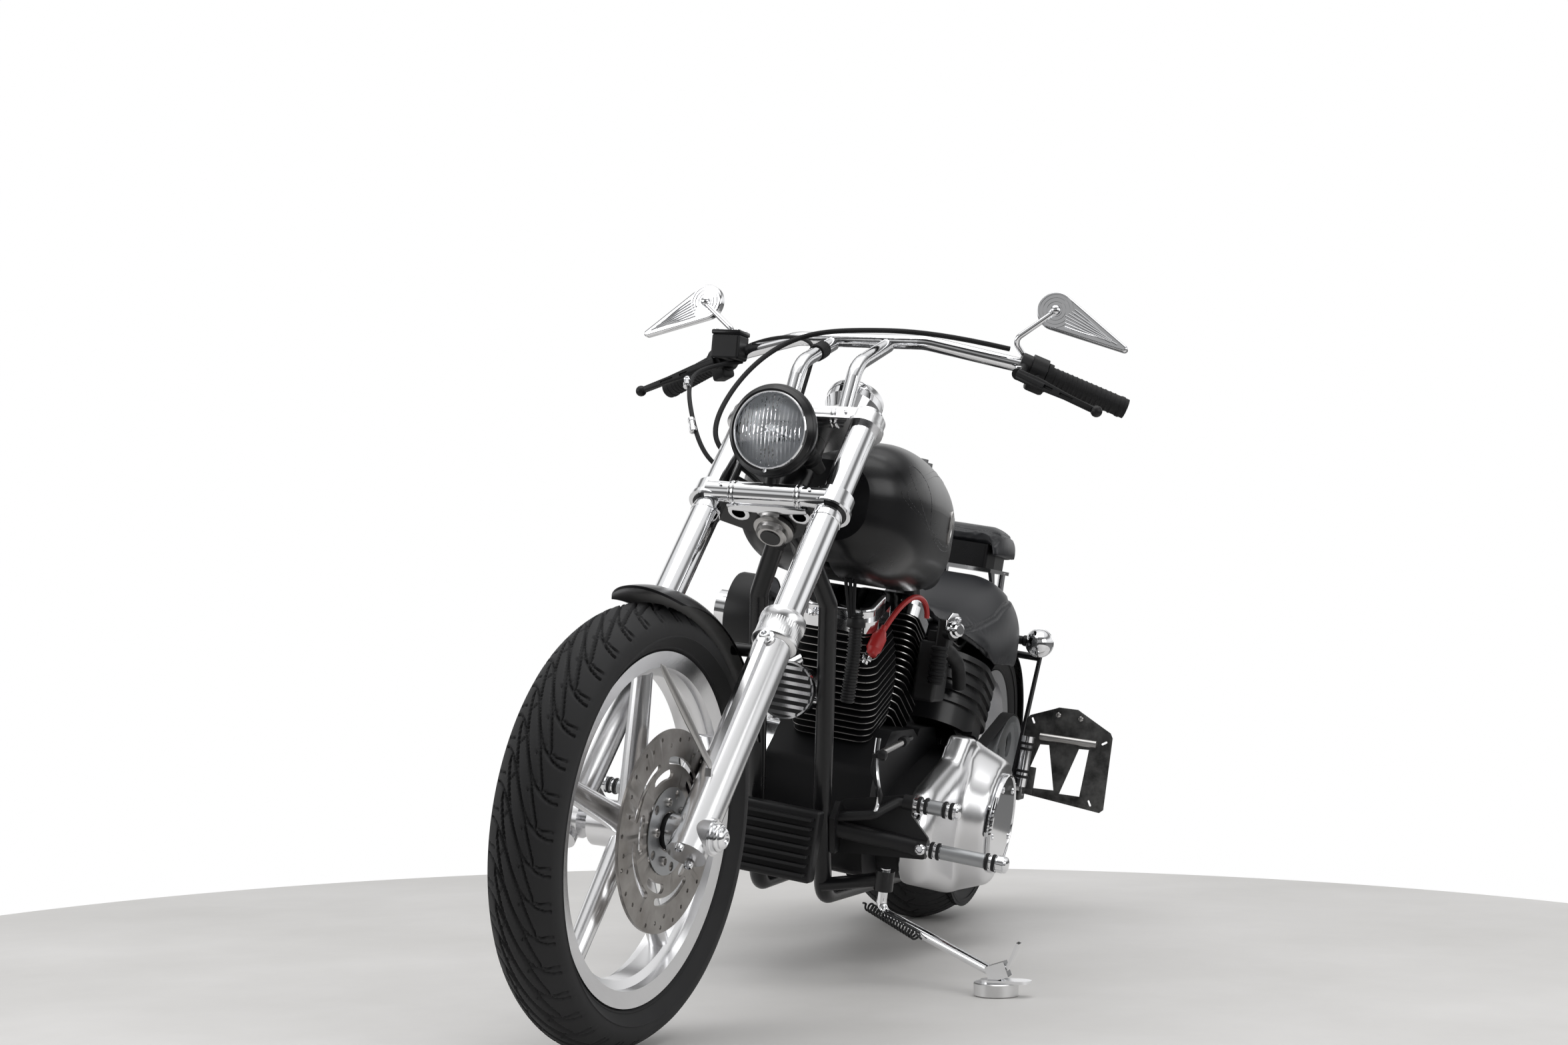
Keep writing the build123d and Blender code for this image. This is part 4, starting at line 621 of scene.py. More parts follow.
# %% lens, bowl and trim
LAMP = aim((1396, 0, 937), (1, 0, 0), (0, 1, 0))
lens_profile = [(r, 9.5 - 11.5 * (r / 62.5) ** 2) for r in numpy.linspace(0.6, 62.5, 34)]
lens_profile += [(r, 5.0 - 11 * (r / 62.5) ** 2) for r in numpy.linspace(62.5, 0.6, 34)]
lens = ring("fluted_lens", lens_profile, 120)
for spot in lens.data.vertices:
    reach = math.hypot(spot.co.x, spot.co.y)
    if spot.co.z < 7 - 11.2 * (reach / 62.5) ** 2 and reach < 60:
        spot.co.z -= 1.3 * math.cos(math.tau * spot.co.x / 7.0)
        if abs(spot.co.y - 12) < 2.5:
            spot.co.z -= 1.0
fit(lens, glass, "steering", LAMP, 60)
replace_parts(lens, "headlamp_lens")

mirror = Finish("lamp_mirror", (0.93, 0.94, 0.95), 0.3, 1.0)
mirror.bump(mirror.noise(70.0, 2.0), 0.12, 0.002)
mirror.set("Roughness", mirror.noise(30.0) * 0.12 + 0.26)
bowl = [(61.5, -9), (59, -24), (52, -40), (40, -52), (26, -60), (13, -64), (12, -66), (27, -62), (41.5, -54),
        (53.5, -41.5), (60.5, -25), (63, -9)]
fit(ring("lamp_bowl", bowl, 72), mirror, "steering", LAMP)
cap = lathe("bulb_shield", [(15, -30), (16, -28), (15.5, -20), (12, -16), (6, -14)])
fit(cap, mirror, "steering", LAMP)
bulb_stem = lathe("bulb_stem", [(6, -64), (6, -46), (4.5, -44), (4.5, -30)], 20)
fit(bulb_stem, glass, "steering", LAMP)
trim = ring("lamp_trim_ring", [(60.2, 0), (60.4, 3.4), (61.4, 4.8), (63.0, 4.8), (64.2, 3.4), (64.2, 1.0)], 96)
fit(trim, chrome, "steering", LAMP)
fit(socket_screw("lamp_trim_screw", 3.4, 4), chrome, "steering", LAMP @ Matrix.Translation((0, -66, 5)))
rim_roll = ring("lamp_rim_bead", [(74.2, -17), (76.4, -15), (76.8, -11), (76.2, -7.5), (73.6, -5), (71, -5), (73, -12)], 96)
fit(rim_roll, gloss_black, "steering", LAMP)
boot = lathe("lamp_wire_boot", [(15, 0), (17, 5), (15, 9), (17, 14), (14.5, 19), (16, 24), (12, 30), (9, 46)], 28)
fit(boot, rubber, "steering", aim((1316, 30, 912), (-0.7, 0.35, -0.6)))

# %% [markdown]
# ## Fork details
# The lower legs are polished castings that end in a clamp round the axle. Their screws, the dome over the axle's end,
# the seams in the clamp covers and the black brake pipe give the eye its scale.

# %% fork legs


def along_fork(along, y, ahead=0.0):
    """A point by its distance up the leg from the axle and ahead of the leg's line."""
    a = math.radians(38)
    return (1758 - along * math.sin(a) + ahead * math.cos(a), y, 322 + along * math.cos(a) + ahead * math.sin(a))


UP_LEG = (-math.sin(math.radians(38)), 0, math.cos(math.radians(38)))
AHEAD_OF_LEG = (math.cos(math.radians(38)), 0, math.sin(math.radians(38)))
for side, tag in ((1, "left"), (-1, "right")):
    collar = ring("slider_collar_" + tag, [(25, 398), (33, 398), (36.4, 394), (36.4, 384), (35, 382), (35, 356), (36.2, 354),
                                           (36.2, 349), (34, 346), (30.2, 344), (28, 360)], 56)
    fit(collar, polished, "steering", aim(along_fork(0, 106 * side), UP_LEG))
    seal = ring("fork_seal_" + tag, [(24.6, 400), (29, 400), (29.5, 403), (26, 406), (24.6, 406)], 48)
    fit(seal, rubber, "steering", aim(along_fork(0, 106 * side), UP_LEG))
    boss = lathe("slider_boss_" + tag, [(15, -10), (14.6, 3), (13, 5), (9.5, 5.4)], 36)
    fit(boss, polished, "steering", aim(along_fork(338, 106 * side, 29), AHEAD_OF_LEG))
    fit(socket_screw("slider_screw_" + tag, 8.6, 7, 1.5), chrome, "steering", aim(along_fork(338, 106 * side, 34), AHEAD_OF_LEG))
    dome = socket_screw("axle_cap_" + tag, 16, 5, 4)
    fit(dome, chrome, "steering", aim((1758, side * 148, 322), (0, side, 0)))
    washer = ring("axle_washer_" + tag, [(13, 0), (23.5, 0), (24.5, 1), (24.5, 3.4), (23.5, 4.4), (13, 4.4)], 48)
    fit(washer, chrome, "steering", aim((1758, side * 137, 322), (0, side, 0)))
    pinch = repeated(socket_screw("pinch_screws_" + tag, 6.5, 8), [Matrix.Translation((0, k * 22, 0)) for k in (-1, 1)])
    fit(pinch, chrome, "steering", aim(along_fork(-36, 106 * side, 4), tuple(-c for c in UP_LEG), (0, 1, 0)))
    seam = ring("tube_ring_" + tag, [(24.4, 0), (25.6, 0.6), (25.6, 5.4), (24.4, 6)], 48)
    fit(seam, chrome, "steering", aim(along_fork(600, 106 * side), UP_LEG))
    pocket = plate("slider_flute_" + tag, [(0, 0), (6, 10), (8, 120), (6, 228), (0, 240), (-6, 228), (-8, 120), (-6, 10)], 2.0, 0.8)
    fit(pocket, steel, "steering", aim(along_fork(90, 106 * side + 4.2 * side, 36), (0, side, 0), UP_LEG) @ Matrix.Translation((0, 0, 0)))

# %% clamp details
def on_stem(height, ahead, y):
    """A point by its height along the steering axis and its distance ahead of it."""
    r = math.radians(36.5)
    return (1925 - height * math.sin(r) + ahead * math.cos(r), y, height * math.cos(r) + ahead * math.sin(r))


def stem_of(along):
    point = Vector(along_fork(along, 0))
    r = math.radians(36.5)
    dx, z = point.x - 1925, point.z
    return -dx * math.sin(r) + z * math.cos(r), dx * math.cos(r) + z * math.sin(r)


UP_STEM = (-math.sin(math.radians(36.5)), 0, math.cos(math.radians(36.5)))
low_height, low_ahead = stem_of(645)
top_height, top_ahead = stem_of(818)
for name, height, ahead, radius, spots in (("lower_bar", low_height - 11, low_ahead + 21, 18.6, (-58, 58)),
                                           ("upper_bar", top_height, top_ahead + 14, 16.6, (-58, 58))):
    for y in spots:
        collar = ring(f"{name}_seam_{'left' if y > 0 else 'right'}", [(radius - 2, -5), (radius + 0.6, -5), (radius + 1.2, -3.5), (radius + 0.5, -2.5),
                                                                      (radius + 0.5, 2.5), (radius + 1.2, 3.5), (radius + 0.6, 5), (radius - 2, 5)], 48)
        fit(collar, chrome, "steering", aim(on_stem(height, ahead, y), (0, 1, 0)))
        fit(socket_screw(f"{name}_screw_{'left' if y > 0 else 'right'}", 3.2, 2.2), chrome, "steering",
            aim(on_stem(height, ahead + radius - 0.6, y * 1.35), (math.cos(math.radians(36.5)), 0, math.sin(math.radians(36.5)))))
for y in (-54, 54):
    cup = ring(f"yoke_ring_{'left' if y > 0 else 'right'}", [(11.5, -3), (17, -3), (18.4, -1), (18.4, 2), (13, 3.5), (11.5, 3)], 40)
    fit(cup, chrome, "steering", aim(on_stem(low_height - 27, low_ahead * 0.8, y), tuple(-c for c in UP_STEM)))
bearing = lathe("bearing_cup", [(33, 0), (34, 2), (34, 9), (31, 11), (27, 12), (26.4, 20), (22, 24), (10, 25)], 48)
fit(bearing, steel, "steering", aim(on_stem(low_height - 26, 0, 0), tuple(-c for c in UP_STEM)))
strap = plate("yoke_bracket", [(-70, -6), (-20, -9), (-18, -16), (18, -16), (20, -9), (70, -6), (70, 6), (20, 9), (-20, 9), (-70, 6)], 4, 1.2)
fit(strap, chrome, "steering", aim(on_stem(low_height - 27, 46, 0), tuple(-c for c in UP_STEM), (0, 1, 0)))
stem_nut = lathe("stem_nut", [(19, 0), (20, 2), (20, 8), (17, 12), (9, 14)], 6)
fit(soften(stem_nut, 1.0), chrome, "steering", aim(on_stem(top_height + 12, 0, 0), UP_STEM))

# %% [markdown]
# ## Brake caliper
# The caliper is two black castings held by long screws, with a bleed nipple and the hose fitting on top.

# %% caliper
caliper_place = aim((1646, 61, 400), (0, 1, 0), UP_LEG)
bridge = box("caliper_cover", (92, 50, 14), 5)
pick(bridge, "FACE", lambda face: face.normal.z > 0.95 and face.calc_area() > 1000)
bpy.ops.mesh.inset(thickness=5)
bpy.ops.mesh.extrude_region_move(TRANSFORM_OT_translate={"value": (0, 0, -3)})
bpy.ops.object.mode_set(mode="OBJECT")
fit(bridge, satin_black, "steering", caliper_place @ Matrix.Translation((0, 0, 34)))
fit(repeated(socket_screw("caliper_screws", 6.4, 5), [Matrix.Translation((x, y, 0)) for x, y in ((-36, 14), (36, 14), (-36, -14), (36, -14))]),
    chrome, "steering", caliper_place @ Matrix.Translation((0, 0, 39)))
fit(repeated(lathe("caliper_pistons", [(15, 0), (15, 3), (13, 4.4), (8, 4.6)], 32), [Matrix.Translation((x, 0, 0)) for x in (-19, 19)]),
    satin_black, "steering", caliper_place @ Matrix.Translation((0, 0, 36.5)))
banjo = lathe("hose_banjo", [(8, 0), (9, 1), (9, 8), (7, 9), (7, 14), (5, 15)], 6)
fit(soften(banjo, 0.6), chrome, "steering", aim(along_fork(190, 84, -48), (0, 1, 0)))

# %% [markdown]
# ## Mirrors and controls
# The backs of the mirrors are what shows: chrome teardrops with ribs that run out to the tip and rings round the big
# end. The levers and their perches are black, with chrome pins.

# %% mirrors
for side, tag in ((1, "left"), (-1, "right")):
    round_end, tip = Vector((996, 334 * side, 1204)), Vector((990, 462 * side, 1141))
    back = aim(round_end, (1, 0.12 * side, 0.1), tuple(tip - round_end))
    if back.col[0].to_3d().dot(tip - round_end) < 0:
        back = back @ Matrix.Rotation(math.pi, 4, "Z")
    ribs = [cable("rib", [(20 + abs(k) * 3, 5.6 * k, 8.2), (60, 4.4 * k, 8.6), (124 - abs(k) * 12, 1.7 * k, 8.2)], 1.5, order=3)
            for k in (-3, -2, -1, 0, 1, 2, 3)]
    fit(joined("mirror_ribs_" + tag, ribs), chrome, "steering", back)
    rings = [ring("ring", [(r - 1.6, 7), (r - 1.2, 9.4), (r + 1.2, 9.4), (r + 1.6, 7)], 48) for r in (10, 16.5, 23.5, 29.5)]
    fit(joined("mirror_rings_" + tag, rings), chrome, "steering", back)
    stud = lathe("mirror_stud_" + tag, [(8, 7), (8.6, 9), (8, 13), (5.5, 16), (2, 17)], 28)
    fit(stud, chrome, "steering", back)
    edge = ring("mirror_ball_" + tag, [(3, -7), (6.5, -5), (7.5, 0), (6.5, 5), (3, 7)], 28)
    fit(edge, chrome, "steering", aim((1003, 330 * side, 1199), (0, side, 0.5)))

# %% controls
BAR_END, BAR_BEND = Vector((907, 440, 1053)), Vector((985, 285, 1108))
along_bar = (BAR_END - BAR_BEND).normalized()


def on_bar(distance, side=1):
    spot = BAR_BEND + along_bar * distance
    return Vector((spot.x, side * spot.y, spot.z))


for side, tag in ((1, "left"), (-1, "right")):
    direction = Vector((along_bar.x, side * along_bar.y, along_bar.z))
    grooves = [ring("groove", [(17.2, d), (18.3, d + 1.5), (18.3, d + 3.5), (17.2, d + 5)], 36) for d in range(14, 128, 9)]
    fit(joined("grip_ribs_" + tag, grooves), rubber, "steering", aim(on_bar(36, side), direction))
    end = lathe("grip_end_" + tag, [(18, 0), (18.6, 2), (18.6, 7), (16, 10), (10, 11)], 36)
    fit(end, rubber, "steering", aim(on_bar(172, side), direction))
    lid = box("switch_housing_" + tag, (30, 40, 34), 6)
    fit(lid, satin_black, "steering", aim(on_bar(20, side) - Vector((0, 0, 18)), direction, (1, 0, 0)) @ Matrix.Translation((0, 0, 0)))
    buttons = repeated(box("switch_buttons_" + tag, (9, 7, 5), 1.6), [Matrix.Translation((0, y, 0)) for y in (-9, 3)])
    fit(buttons, plastic, "steering", aim(on_bar(20, side) + Vector((24, 0, -14)), (1, 0, 0), (0, 0, 1)))
    pivot = Vector((1036, 288 * side, 1088))
    pin = socket_screw("lever_pin_" + tag, 7, 5)
    fit(pin, chrome, "steering", aim(pivot + Vector((0, 0, 9)), (0.1, 0, 1)))
    ball = Vector((1040, 432 * side, 1030))
    blade = plate("lever_blade_" + tag, [(0, -8), (40, -9.5), (96, -6), (148, -5), (148, 5), (96, 6.5), (40, 10), (0, 9)], 9, 2.4)
    slot_cutters = [fresh("cube", "cutter", size=1, location=(x, y, 4), scale=scale)
                    for x, y, scale in ((56, 0.5, (30, 5, 30)), (98, 0.3, (26, 4, 30)))]
    cut(blade, slot_cutters)
    fit(blade, satin_black, "steering", aim(pivot, (1, 0, 0.05), tuple(ball - pivot)))
reservoir = box("brake_reservoir_lid", (58, 46, 9), 3)
fit(reservoir, gloss_black, "steering", aim(on_bar(-8, -1) + Vector((34, 10, 34)), (0, 0, 1), (0, 1, 0)))
fit(repeated(socket_screw("reservoir_screws", 3.2, 2.4), [Matrix.Translation((x, y, 0)) for x in (-22, 22) for y in (-15, 15)]),
    chrome, "steering", aim(on_bar(-8, -1) + Vector((34, 10, 38)), (0, 0, 1), (0, 1, 0)))
for tag, here, there in (("upper", (1180, -268, 1040), (1213, -250, 1016)), ("lower", (1262, -212, 962), (1284, -190, 924))):
    here, there = Vector(here), Vector(there)
    sleeve = lathe("brake_line_fitting_" + tag, [(4.6, 0), (6, 1), (6, 7), (5, 8), (5, 20), (6.4, 21), (6.4, 30), (4.6, 31)], 20)
    fit(sleeve, chrome, "steering", aim(here, tuple(there - here)))
strap = ring("cable_strap", [(13.2, -16), (15, -15), (15.4, 0), (15, 15), (13.2, 16)], 32)
fit(strap, rubber, "steering", aim((1108, -52, 1106), (-0.93, 0, 0.38)))

# %% [markdown]
# ## Instrument
# The dial sits under domed glass in a chrome cup. Plain ticks and a needle are enough, with no lettering.

# %% dial, ticks and glass
GAUGE = aim((1062, 0, 1012), (-0.55, 0, 0.83), (0, 1, 0))
face_finish = Finish("dial_face", (0.03, 0.03, 0.032), 0.4)
face_finish.set("Base Color", face_finish.ramp(face_finish.noise(60.0), (0.3, (0.02, 0.02, 0.022)), (0.7, (0.04, 0.04, 0.042))))
fit(lathe("dial", [(40, 20), (40, 22.4), (4, 22.6)], 64), face_finish, "steering", GAUGE)
tick_finish = Finish("dial_marks", (0.8, 0.8, 0.78), 0.5)
tick_finish.set("Base Color", tick_finish.ramp(tick_finish.noise(90.0), (0.3, (0.72, 0.72, 0.70)), (0.7, (0.85, 0.85, 0.83))))
tick = box("dial_ticks", (6, 1.4, 0.5))
ticks = repeated(tick, [Matrix.Rotation(math.radians(-120 + 24 * k), 4, "Z") @ Matrix.Translation((34, 0, 22.8)) for k in range(11)])
fit(ticks, tick_finish, "steering", GAUGE)
needle = plate("dial_needle", [(-8, -1.6), (30, -0.5), (30, 0.5), (-8, 1.6)], 0.8)
fit(needle, tick_finish, "steering", GAUGE @ Matrix.Rotation(math.radians(-118), 4, "Z") @ Matrix.Translation((0, 0, 23.6)))
bezel = ring("dial_bezel", [(40, 21), (41, 26), (44, 28.5), (48, 27), (50.6, 22), (50.8, 14), (49, 12)], 72)
fit(bezel, chrome, "steering", GAUGE)
cover = ring("dial_glass", [(0.5, 29), (20, 28.4), (34, 26.8), (41, 25), (41, 24), (34, 25.6), (20, 27.2), (0.5, 27.8)], 56)
fit(cover, glass, "steering", GAUGE)

# %% [markdown]
# ## Cables on the front end
# The control cables are smooth curves held at their ends. Each is a path curve with a round bevel, which keeps one
# even bend between its points, where joined straight runs would look like wire.

# %% smooth cables
clutch = cable("clutch_cable", [(1014, 262, 1134), (1080, 150, 1150), (1086, 30, 1150), (1092, -92, 1142), (1160, -150, 1080),
                                (1240, -170, 990), (1286, -160, 920), (1270, -104, 884), (1298, -46, 852), (1302, -44, 838)], 4.5, 12)
brake = cable("front_brake_line", [(1004, -250, 1096), (1090, -286, 1074), (1180, -268, 1040), (1250, -222, 980), (1300, -162, 884),
                                   (1262, -96, 862), (1292, -66, 846), (1300, -60, 836)], 4, 12)
hose_run = [along_fork(along, y, -behind) for along, behind, y in ((635, 40, 80), (585, 44, 80), (515, 46, 86), (300, 48, 96), (190, 44, 88))]
hose = cable("caliper_hose", hose_run, 4, 12)
throttle = cable("throttle_cable", [(990, -262, 1120), (1040, -190, 1138), (1080, -70, 1142), (1120, -60, 1080), (1150, -64, 1010),
                                    (1180, -58, 950), (1200, -50, 900)], 3.6, 12)
for line in (clutch, brake, hose, throttle):
    fit(line, rubber, "steering")
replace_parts(joined("brake_lines", [brake, hose]), "steering_cables")

# %% [markdown]
# ## Left side of the engine
# What fills the space between the big parts is wiring: a red plug lead to the coil, a ribbed conduit beside the
# downtube, hoses and clips. Ribs are a lathe profile that goes in and out.

# %% plug lead, conduit, coil
red_silicone = wear("red_silicone", (0.42, 0.02, 0.02), 0.34, 0.48, 0.0, strength=0.08)
lead = cable("plug_lead", [(898, 84, 632), (872, 92, 668), (820, 102, 702), (760, 110, 708), (712, 112, 690), (704, 112, 668)], 5.2, 14)
fit(lead, red_silicone, "bike")
plug_boot = lathe("plug_boot", [(7, -2), (10, 0), (11, 8), (14, 12), (14, 38), (11, 44), (9, 50), (6.5, 52), (6, 62)], 28)
fit(plug_boot, red_silicone, "bike", aim((928, 78, 590), (-0.5, 0.13, 0.86)))
plug = lathe("spark_plug", [(6, 0), (6, 6), (10, 7), (10, 15), (7, 16), (6, 24)], 6)
fit(soften(plug, 0.6), chrome, "bike", aim((935, 70, 572), (-0.3, 0.13, 0.86)))


def corrugated(name, points, radius, pitch, depth):
    """A ribbed tube along a curve: a lathe piece bent by a Curve modifier."""
    bpy.ops.object.select_all(action="DESELECT")
    bpy.ops.curve.primitive_nurbs_path_add()
    line = bpy.context.object
    line.data.splines.clear()
    spline = line.data.splines.new("NURBS")
    spline.points.add(len(points) - 1)
    for spot, point in zip(spline.points, points):
        spot.co = (*point, 1)
    spline.order_u, spline.use_endpoint_u, spline.resolution_u = 3, True, 16
    length = spline.calc_length()
    profile = [(radius - depth, 0)]
    at = 0.0
    while at + pitch < length:
        profile += [(radius, at + pitch * 0.15), (radius, at + pitch * 0.5), (radius - depth, at + pitch * 0.65), (radius - depth, at + pitch)]
        at += pitch
    made = lathe(name, profile, 20)
    made.data.transform(Matrix.Rotation(math.radians(90), 4, "Y"))
    bend = made.modifiers.new("bend", "CURVE")
    bend.object, bend.deform_axis = line, "POS_X"
    apply_all(made)
    bpy.data.objects.remove(line)
    return made


conduit = corrugated("wire_conduit", [(1020, 66, 660), (1022, 72, 610), (1020, 74, 560), (1012, 72, 500)], 13, 5.4, 2.2)
fit(conduit, plastic, "bike")
clip = ring("conduit_collar", [(12, -8), (16, -8), (17, -6), (17, 6), (16, 8), (12, 8)], 36)
fit(clip, satin_black, "bike", aim((1021, 68, 644), (0, 0.1, -1)))
wires = [cable("wire", [(1060 - 10 * k, 30 + 12 * k, 800), (1046, 40 + 9 * k, 720), (1030, 56 + 4 * k, 660), (1026, 60 + 3 * k, 640)], 3.2, 8)
         for k in range(3)]
fit(joined("conduit_wires", wires), rubber, "bike")
boot = corrugated("coil_boot", [(668, 138, 618), (668, 140, 580), (664, 138, 540)], 17, 12, 3)
fit(boot, rubber, "bike")
hose = corrugated("rubber_hose", [(640, 132, 620), (560, 146, 600), (520, 150, 560), (500, 150, 520)], 14, 40, 0.8)
fit(hose, rubber, "bike")
key = lathe("key_switch", [(15, 0), (16, 2), (16, 12), (13, 14), (13, 22), (9, 24), (9, 25), (4, 25)], 32)
fit(key, chrome, "bike", aim((650, 150, 652), (0.5, 0.75, 0.1)))
bracket = plate("coil_bracket", [(0, 0), (46, 0), (52, 6), (52, 30), (40, 38), (18, 38), (0, 24)], 4, 1)
fit(bracket, chrome, "bike", aim((652, 138, 646), (0.2, 1, 0), (-1, 0, 0)))
fit(repeated(socket_screw("coil_screws", 6, 5), [Matrix.Translation((x, y, 0)) for x, y in ((10, 10), (42, 26))]),
    chrome, "bike", aim((652, 142, 646), (0.2, 1, 0), (-1, 0, 0)))
tie = ring("cable_clips", [(4.8, -5), (7, -5), (7.4, 0), (7, 5), (4.8, 5)], 20)
ties = [aim(along_fork(along, y, -behind), UP_LEG) for along, behind, y in ((540, 45.6, 85), (400, 47, 91), (250, 46.5, 93))]
fit(repeated(tie, ties), plastic, "steering")

# %% fin edges and engine screws
def on_cylinder(side, along, across, y):
    a = math.radians(22.5) * side
    return (720 + along * math.sin(a) + across * math.cos(a), y, 300 + along * math.cos(a) - across * math.sin(a))


for side, tag in ((1, "front"), (-1, "rear")):
    a = math.radians(22.5) * side
    axis = (math.sin(a), 0, math.cos(a))
    bright = []
    for k in range(16):
        t = k / 15
        half = 62 + 24 * math.sin(math.pi * (0.18 + 0.7 * t))
        along = 162 + (369 - 162) * t
        hug, depth = half * 0.32, half - 7
        corner = [(half - hug + hug * math.sin(b), depth - hug + hug * math.cos(b)) for b in (math.radians(c) for c in range(0, 91, 15))]
        outline = corner + [(x, -y) for x, y in reversed(corner)] + [(-x, -y) for x, y in corner] + [(-x, y) for x, y in reversed(corner)]
        # local x is the bike's y, local y runs along the fin's own depth
        edge = plate("edge", outline, 1.3)
        pick(edge, "FACE", lambda face: abs(face.normal.z) > 0.9)
        bpy.ops.mesh.inset(thickness=1.0)
        bpy.ops.mesh.delete(type="FACE")
        bpy.ops.mesh.select_mode(type="EDGE")
        bpy.ops.mesh.select_all(action="DESELECT")
        bpy.ops.mesh.select_non_manifold()
        bpy.ops.mesh.bridge_edge_loops()
        # the front of each barrel's fin shows, and the part behind the other barrel is cut off square
        limit = ((along + 0.95) * math.sin(math.radians(22.5)) - 3) / math.cos(math.radians(22.5))
        if limit < depth:
            bpy.ops.mesh.select_all(action="SELECT")
            bpy.ops.mesh.bisect(plane_co=(0, side * limit, 0), plane_no=(0, side, 0), use_fill=True, clear_outer=True)
        bpy.ops.object.mode_set(mode="OBJECT")
        edge.data.transform(Matrix.Translation((0, 0, along + 0.95)))
        bright.append(edge)
    fins = joined("fin_edges_" + tag, bright)
    fins.data.transform(Matrix.Scale(1.004, 4, (1, 0, 0)) @ Matrix.Scale(1.004, 4, (0, 1, 0)))
    rebound = aim((720, 0, 300), axis, (0, 1, 0))
    # one solid ring a fin, with no open edge
    probe = bmesh.new()
    probe.from_mesh(fins.data)
    print("fin edges", tag, "open edges:", sum(1 for e in probe.edges if len(e.link_faces) != 2))
    probe.free()
    fit(fins, steel, "bike", rebound)
    screws = repeated(socket_screw("rocker_screws_" + tag, 7, 6), [Matrix.Translation((x, y, 0)) for x in (-60, 60) for y in (-42, 42)])
    fit(screws, chrome, "bike", aim(on_cylinder(side, 397, 0, 0), axis, (1, 0, 0)))

# %% primary cover
boss_screws = socket_screw("primary_screws", 9.5, 9, 1)
boss_places = [Matrix.Translation((x, -z, 0)) for x, z in ((548, 402), (648, 366), (748, 332))]
fit(repeated(boss_screws, boss_places), chrome, "bike", aim((0, 168, 0), (0, 1, 0), (1, 0, 0)))
DERBY = aim((430, 262, 284), (0, 1, 0), (1, 0, 0))
fit(ring("derby_edge", [(93, -1), (94, 1.4), (97, 2), (99.6, 0.6), (99.6, -2)], 96), chrome, "bike", DERBY)
fit(repeated(socket_screw("derby_screws", 6.4, 2.6), [Matrix.Rotation(math.radians(72 * k + 14), 4, "Z") @ Matrix.Translation((82, 0, -0.4)) for k in range(5)]),
    chrome, "bike", DERBY)
louvre = repeated(box("hatch_ribs", (15, 3, 3), 1), [Matrix.Translation((0, y, 0)) for y in range(-24, 25, 8)])
fit(louvre, satin_black, "bike", aim((542, 263, 296), (0, 1, 0), (1, 0, 0)))

# %% pegs and shift linkage
for side, tag in ((1, "left"), (-1, "right")):
    def across_at(y, z):
        return aim((960, side * y, z), (0, side, 0))
    bands = [ring("band", [(10.8, 0), (14.2, 0.4), (15.2, 2.5), (15.2, 5), (14.2, 7), (10.8, 7.4)], 32) for _ in range(8)]
    places = [across_at(y, 272) for y in (249.8, 261.8, 349.8, 361.8)] + [across_at(y, 346) for y in (215.8, 227.8, 261.8, 273.8)]
    for band_piece, place in zip(bands, places):
        band_piece.data.transform(place)
    fit(joined("peg_rings_" + tag, bands), rubber, "bike")
    caps = []
    for y, z in ((378, 272), (281, 346)):
        end = lathe("cap", [(13, 0), (15.4, 1), (15.4, 4), (13.6, 5), (13.6, 6), (14.6, 7), (13.4, 10), (9, 12.4), (3, 13)], 36)
        end.data.transform(across_at(y, z))
        caps.append(end)
    fit(joined("peg_caps_" + tag, caps), chrome, "bike")
    sleeves = []
    for low, high, z in ((269.5, 349.5, 272), (235.5, 261.5, 346)):
        sleeve = ring("sleeve", [(10.8, 0), (12.8, 0.8), (12.8, high - low - 0.8), (10.8, high - low)], 32)
        sleeve.data.transform(across_at(low, z))
        sleeves.append(sleeve)
    fit(joined("peg_grips_" + tag, sleeves), cast, "bike")
    bolt = socket_screw("clevis_bolt_" + tag, 10, 6, 3)
    fit(bolt, chrome, "bike", aim((976, side * 236, 272), (1, 0, 0)))
toe = plate("toe_plate", [(-18, -10), (18, -10), (20, 0), (18, 10), (-18, 10), (-20, 0)], 5, 1.4)
fit(toe, chrome, "bike", aim((944, 200, 318), (0.9, 0.1, 0.35), (0, 1, 0)))
link = cable("shift_link", [(1000, 150, 324), (1014, 162, 348), (1012, 140, 392), (1008, 138, 432), (1008, 138, 452)], 4.9, 12)
fit(link, chrome, "bike")
joint_ball = lathe("shift_ball_joint", [(3, -9), (8, -7), (10, 0), (8, 7), (3, 9)], 28)
fit(joint_ball, satin_black, "bike", aim((1010, 150, 424), (0, 1, 0)))
rod_end = lathe("shift_rod_end", [(6.5, 0), (9, 1), (9.6, 10), (9.6, 26), (8, 28), (5, 29)], 28)
fit(rod_end, rubber, "bike", aim((790, 125, 435), (-1, -0.05, 0.07)))
fit(lathe("shift_rod_sleeve", [(4.4, 0), (6, 1), (6, 200), (4.4, 201)], 24), steel, "bike", aim((1004, 137.3, 420.8), (-1, -0.053, 0.067)))

# %% [markdown]
# ## Padded seats
# A motorcycle seat is foam under stretched leather. A copy of the seat's solid is remeshed into small even faces and
# blown up a little as cloth, which rounds it the way foam does. The seams come afterwards, because remeshing would
# erase them: the surface is drawn in along each seam, and thread is laid beside it in short stitches.

# %% foam under leather
from mathutils.bvhtree import BVHTree
from mathutils.kdtree import KDTree


def node_copy(name, node):
    """A CAD node's mesh as a new piece, with its loose triangles merged."""
    made = bpy.data.objects.new(name, frame["nodes"][node].data.copy())
    bpy.context.scene.collection.objects.link(made)
    bpy.ops.object.select_all(action="DESELECT")
    made.select_set(True)
    return close_mesh(made, 0.00002)


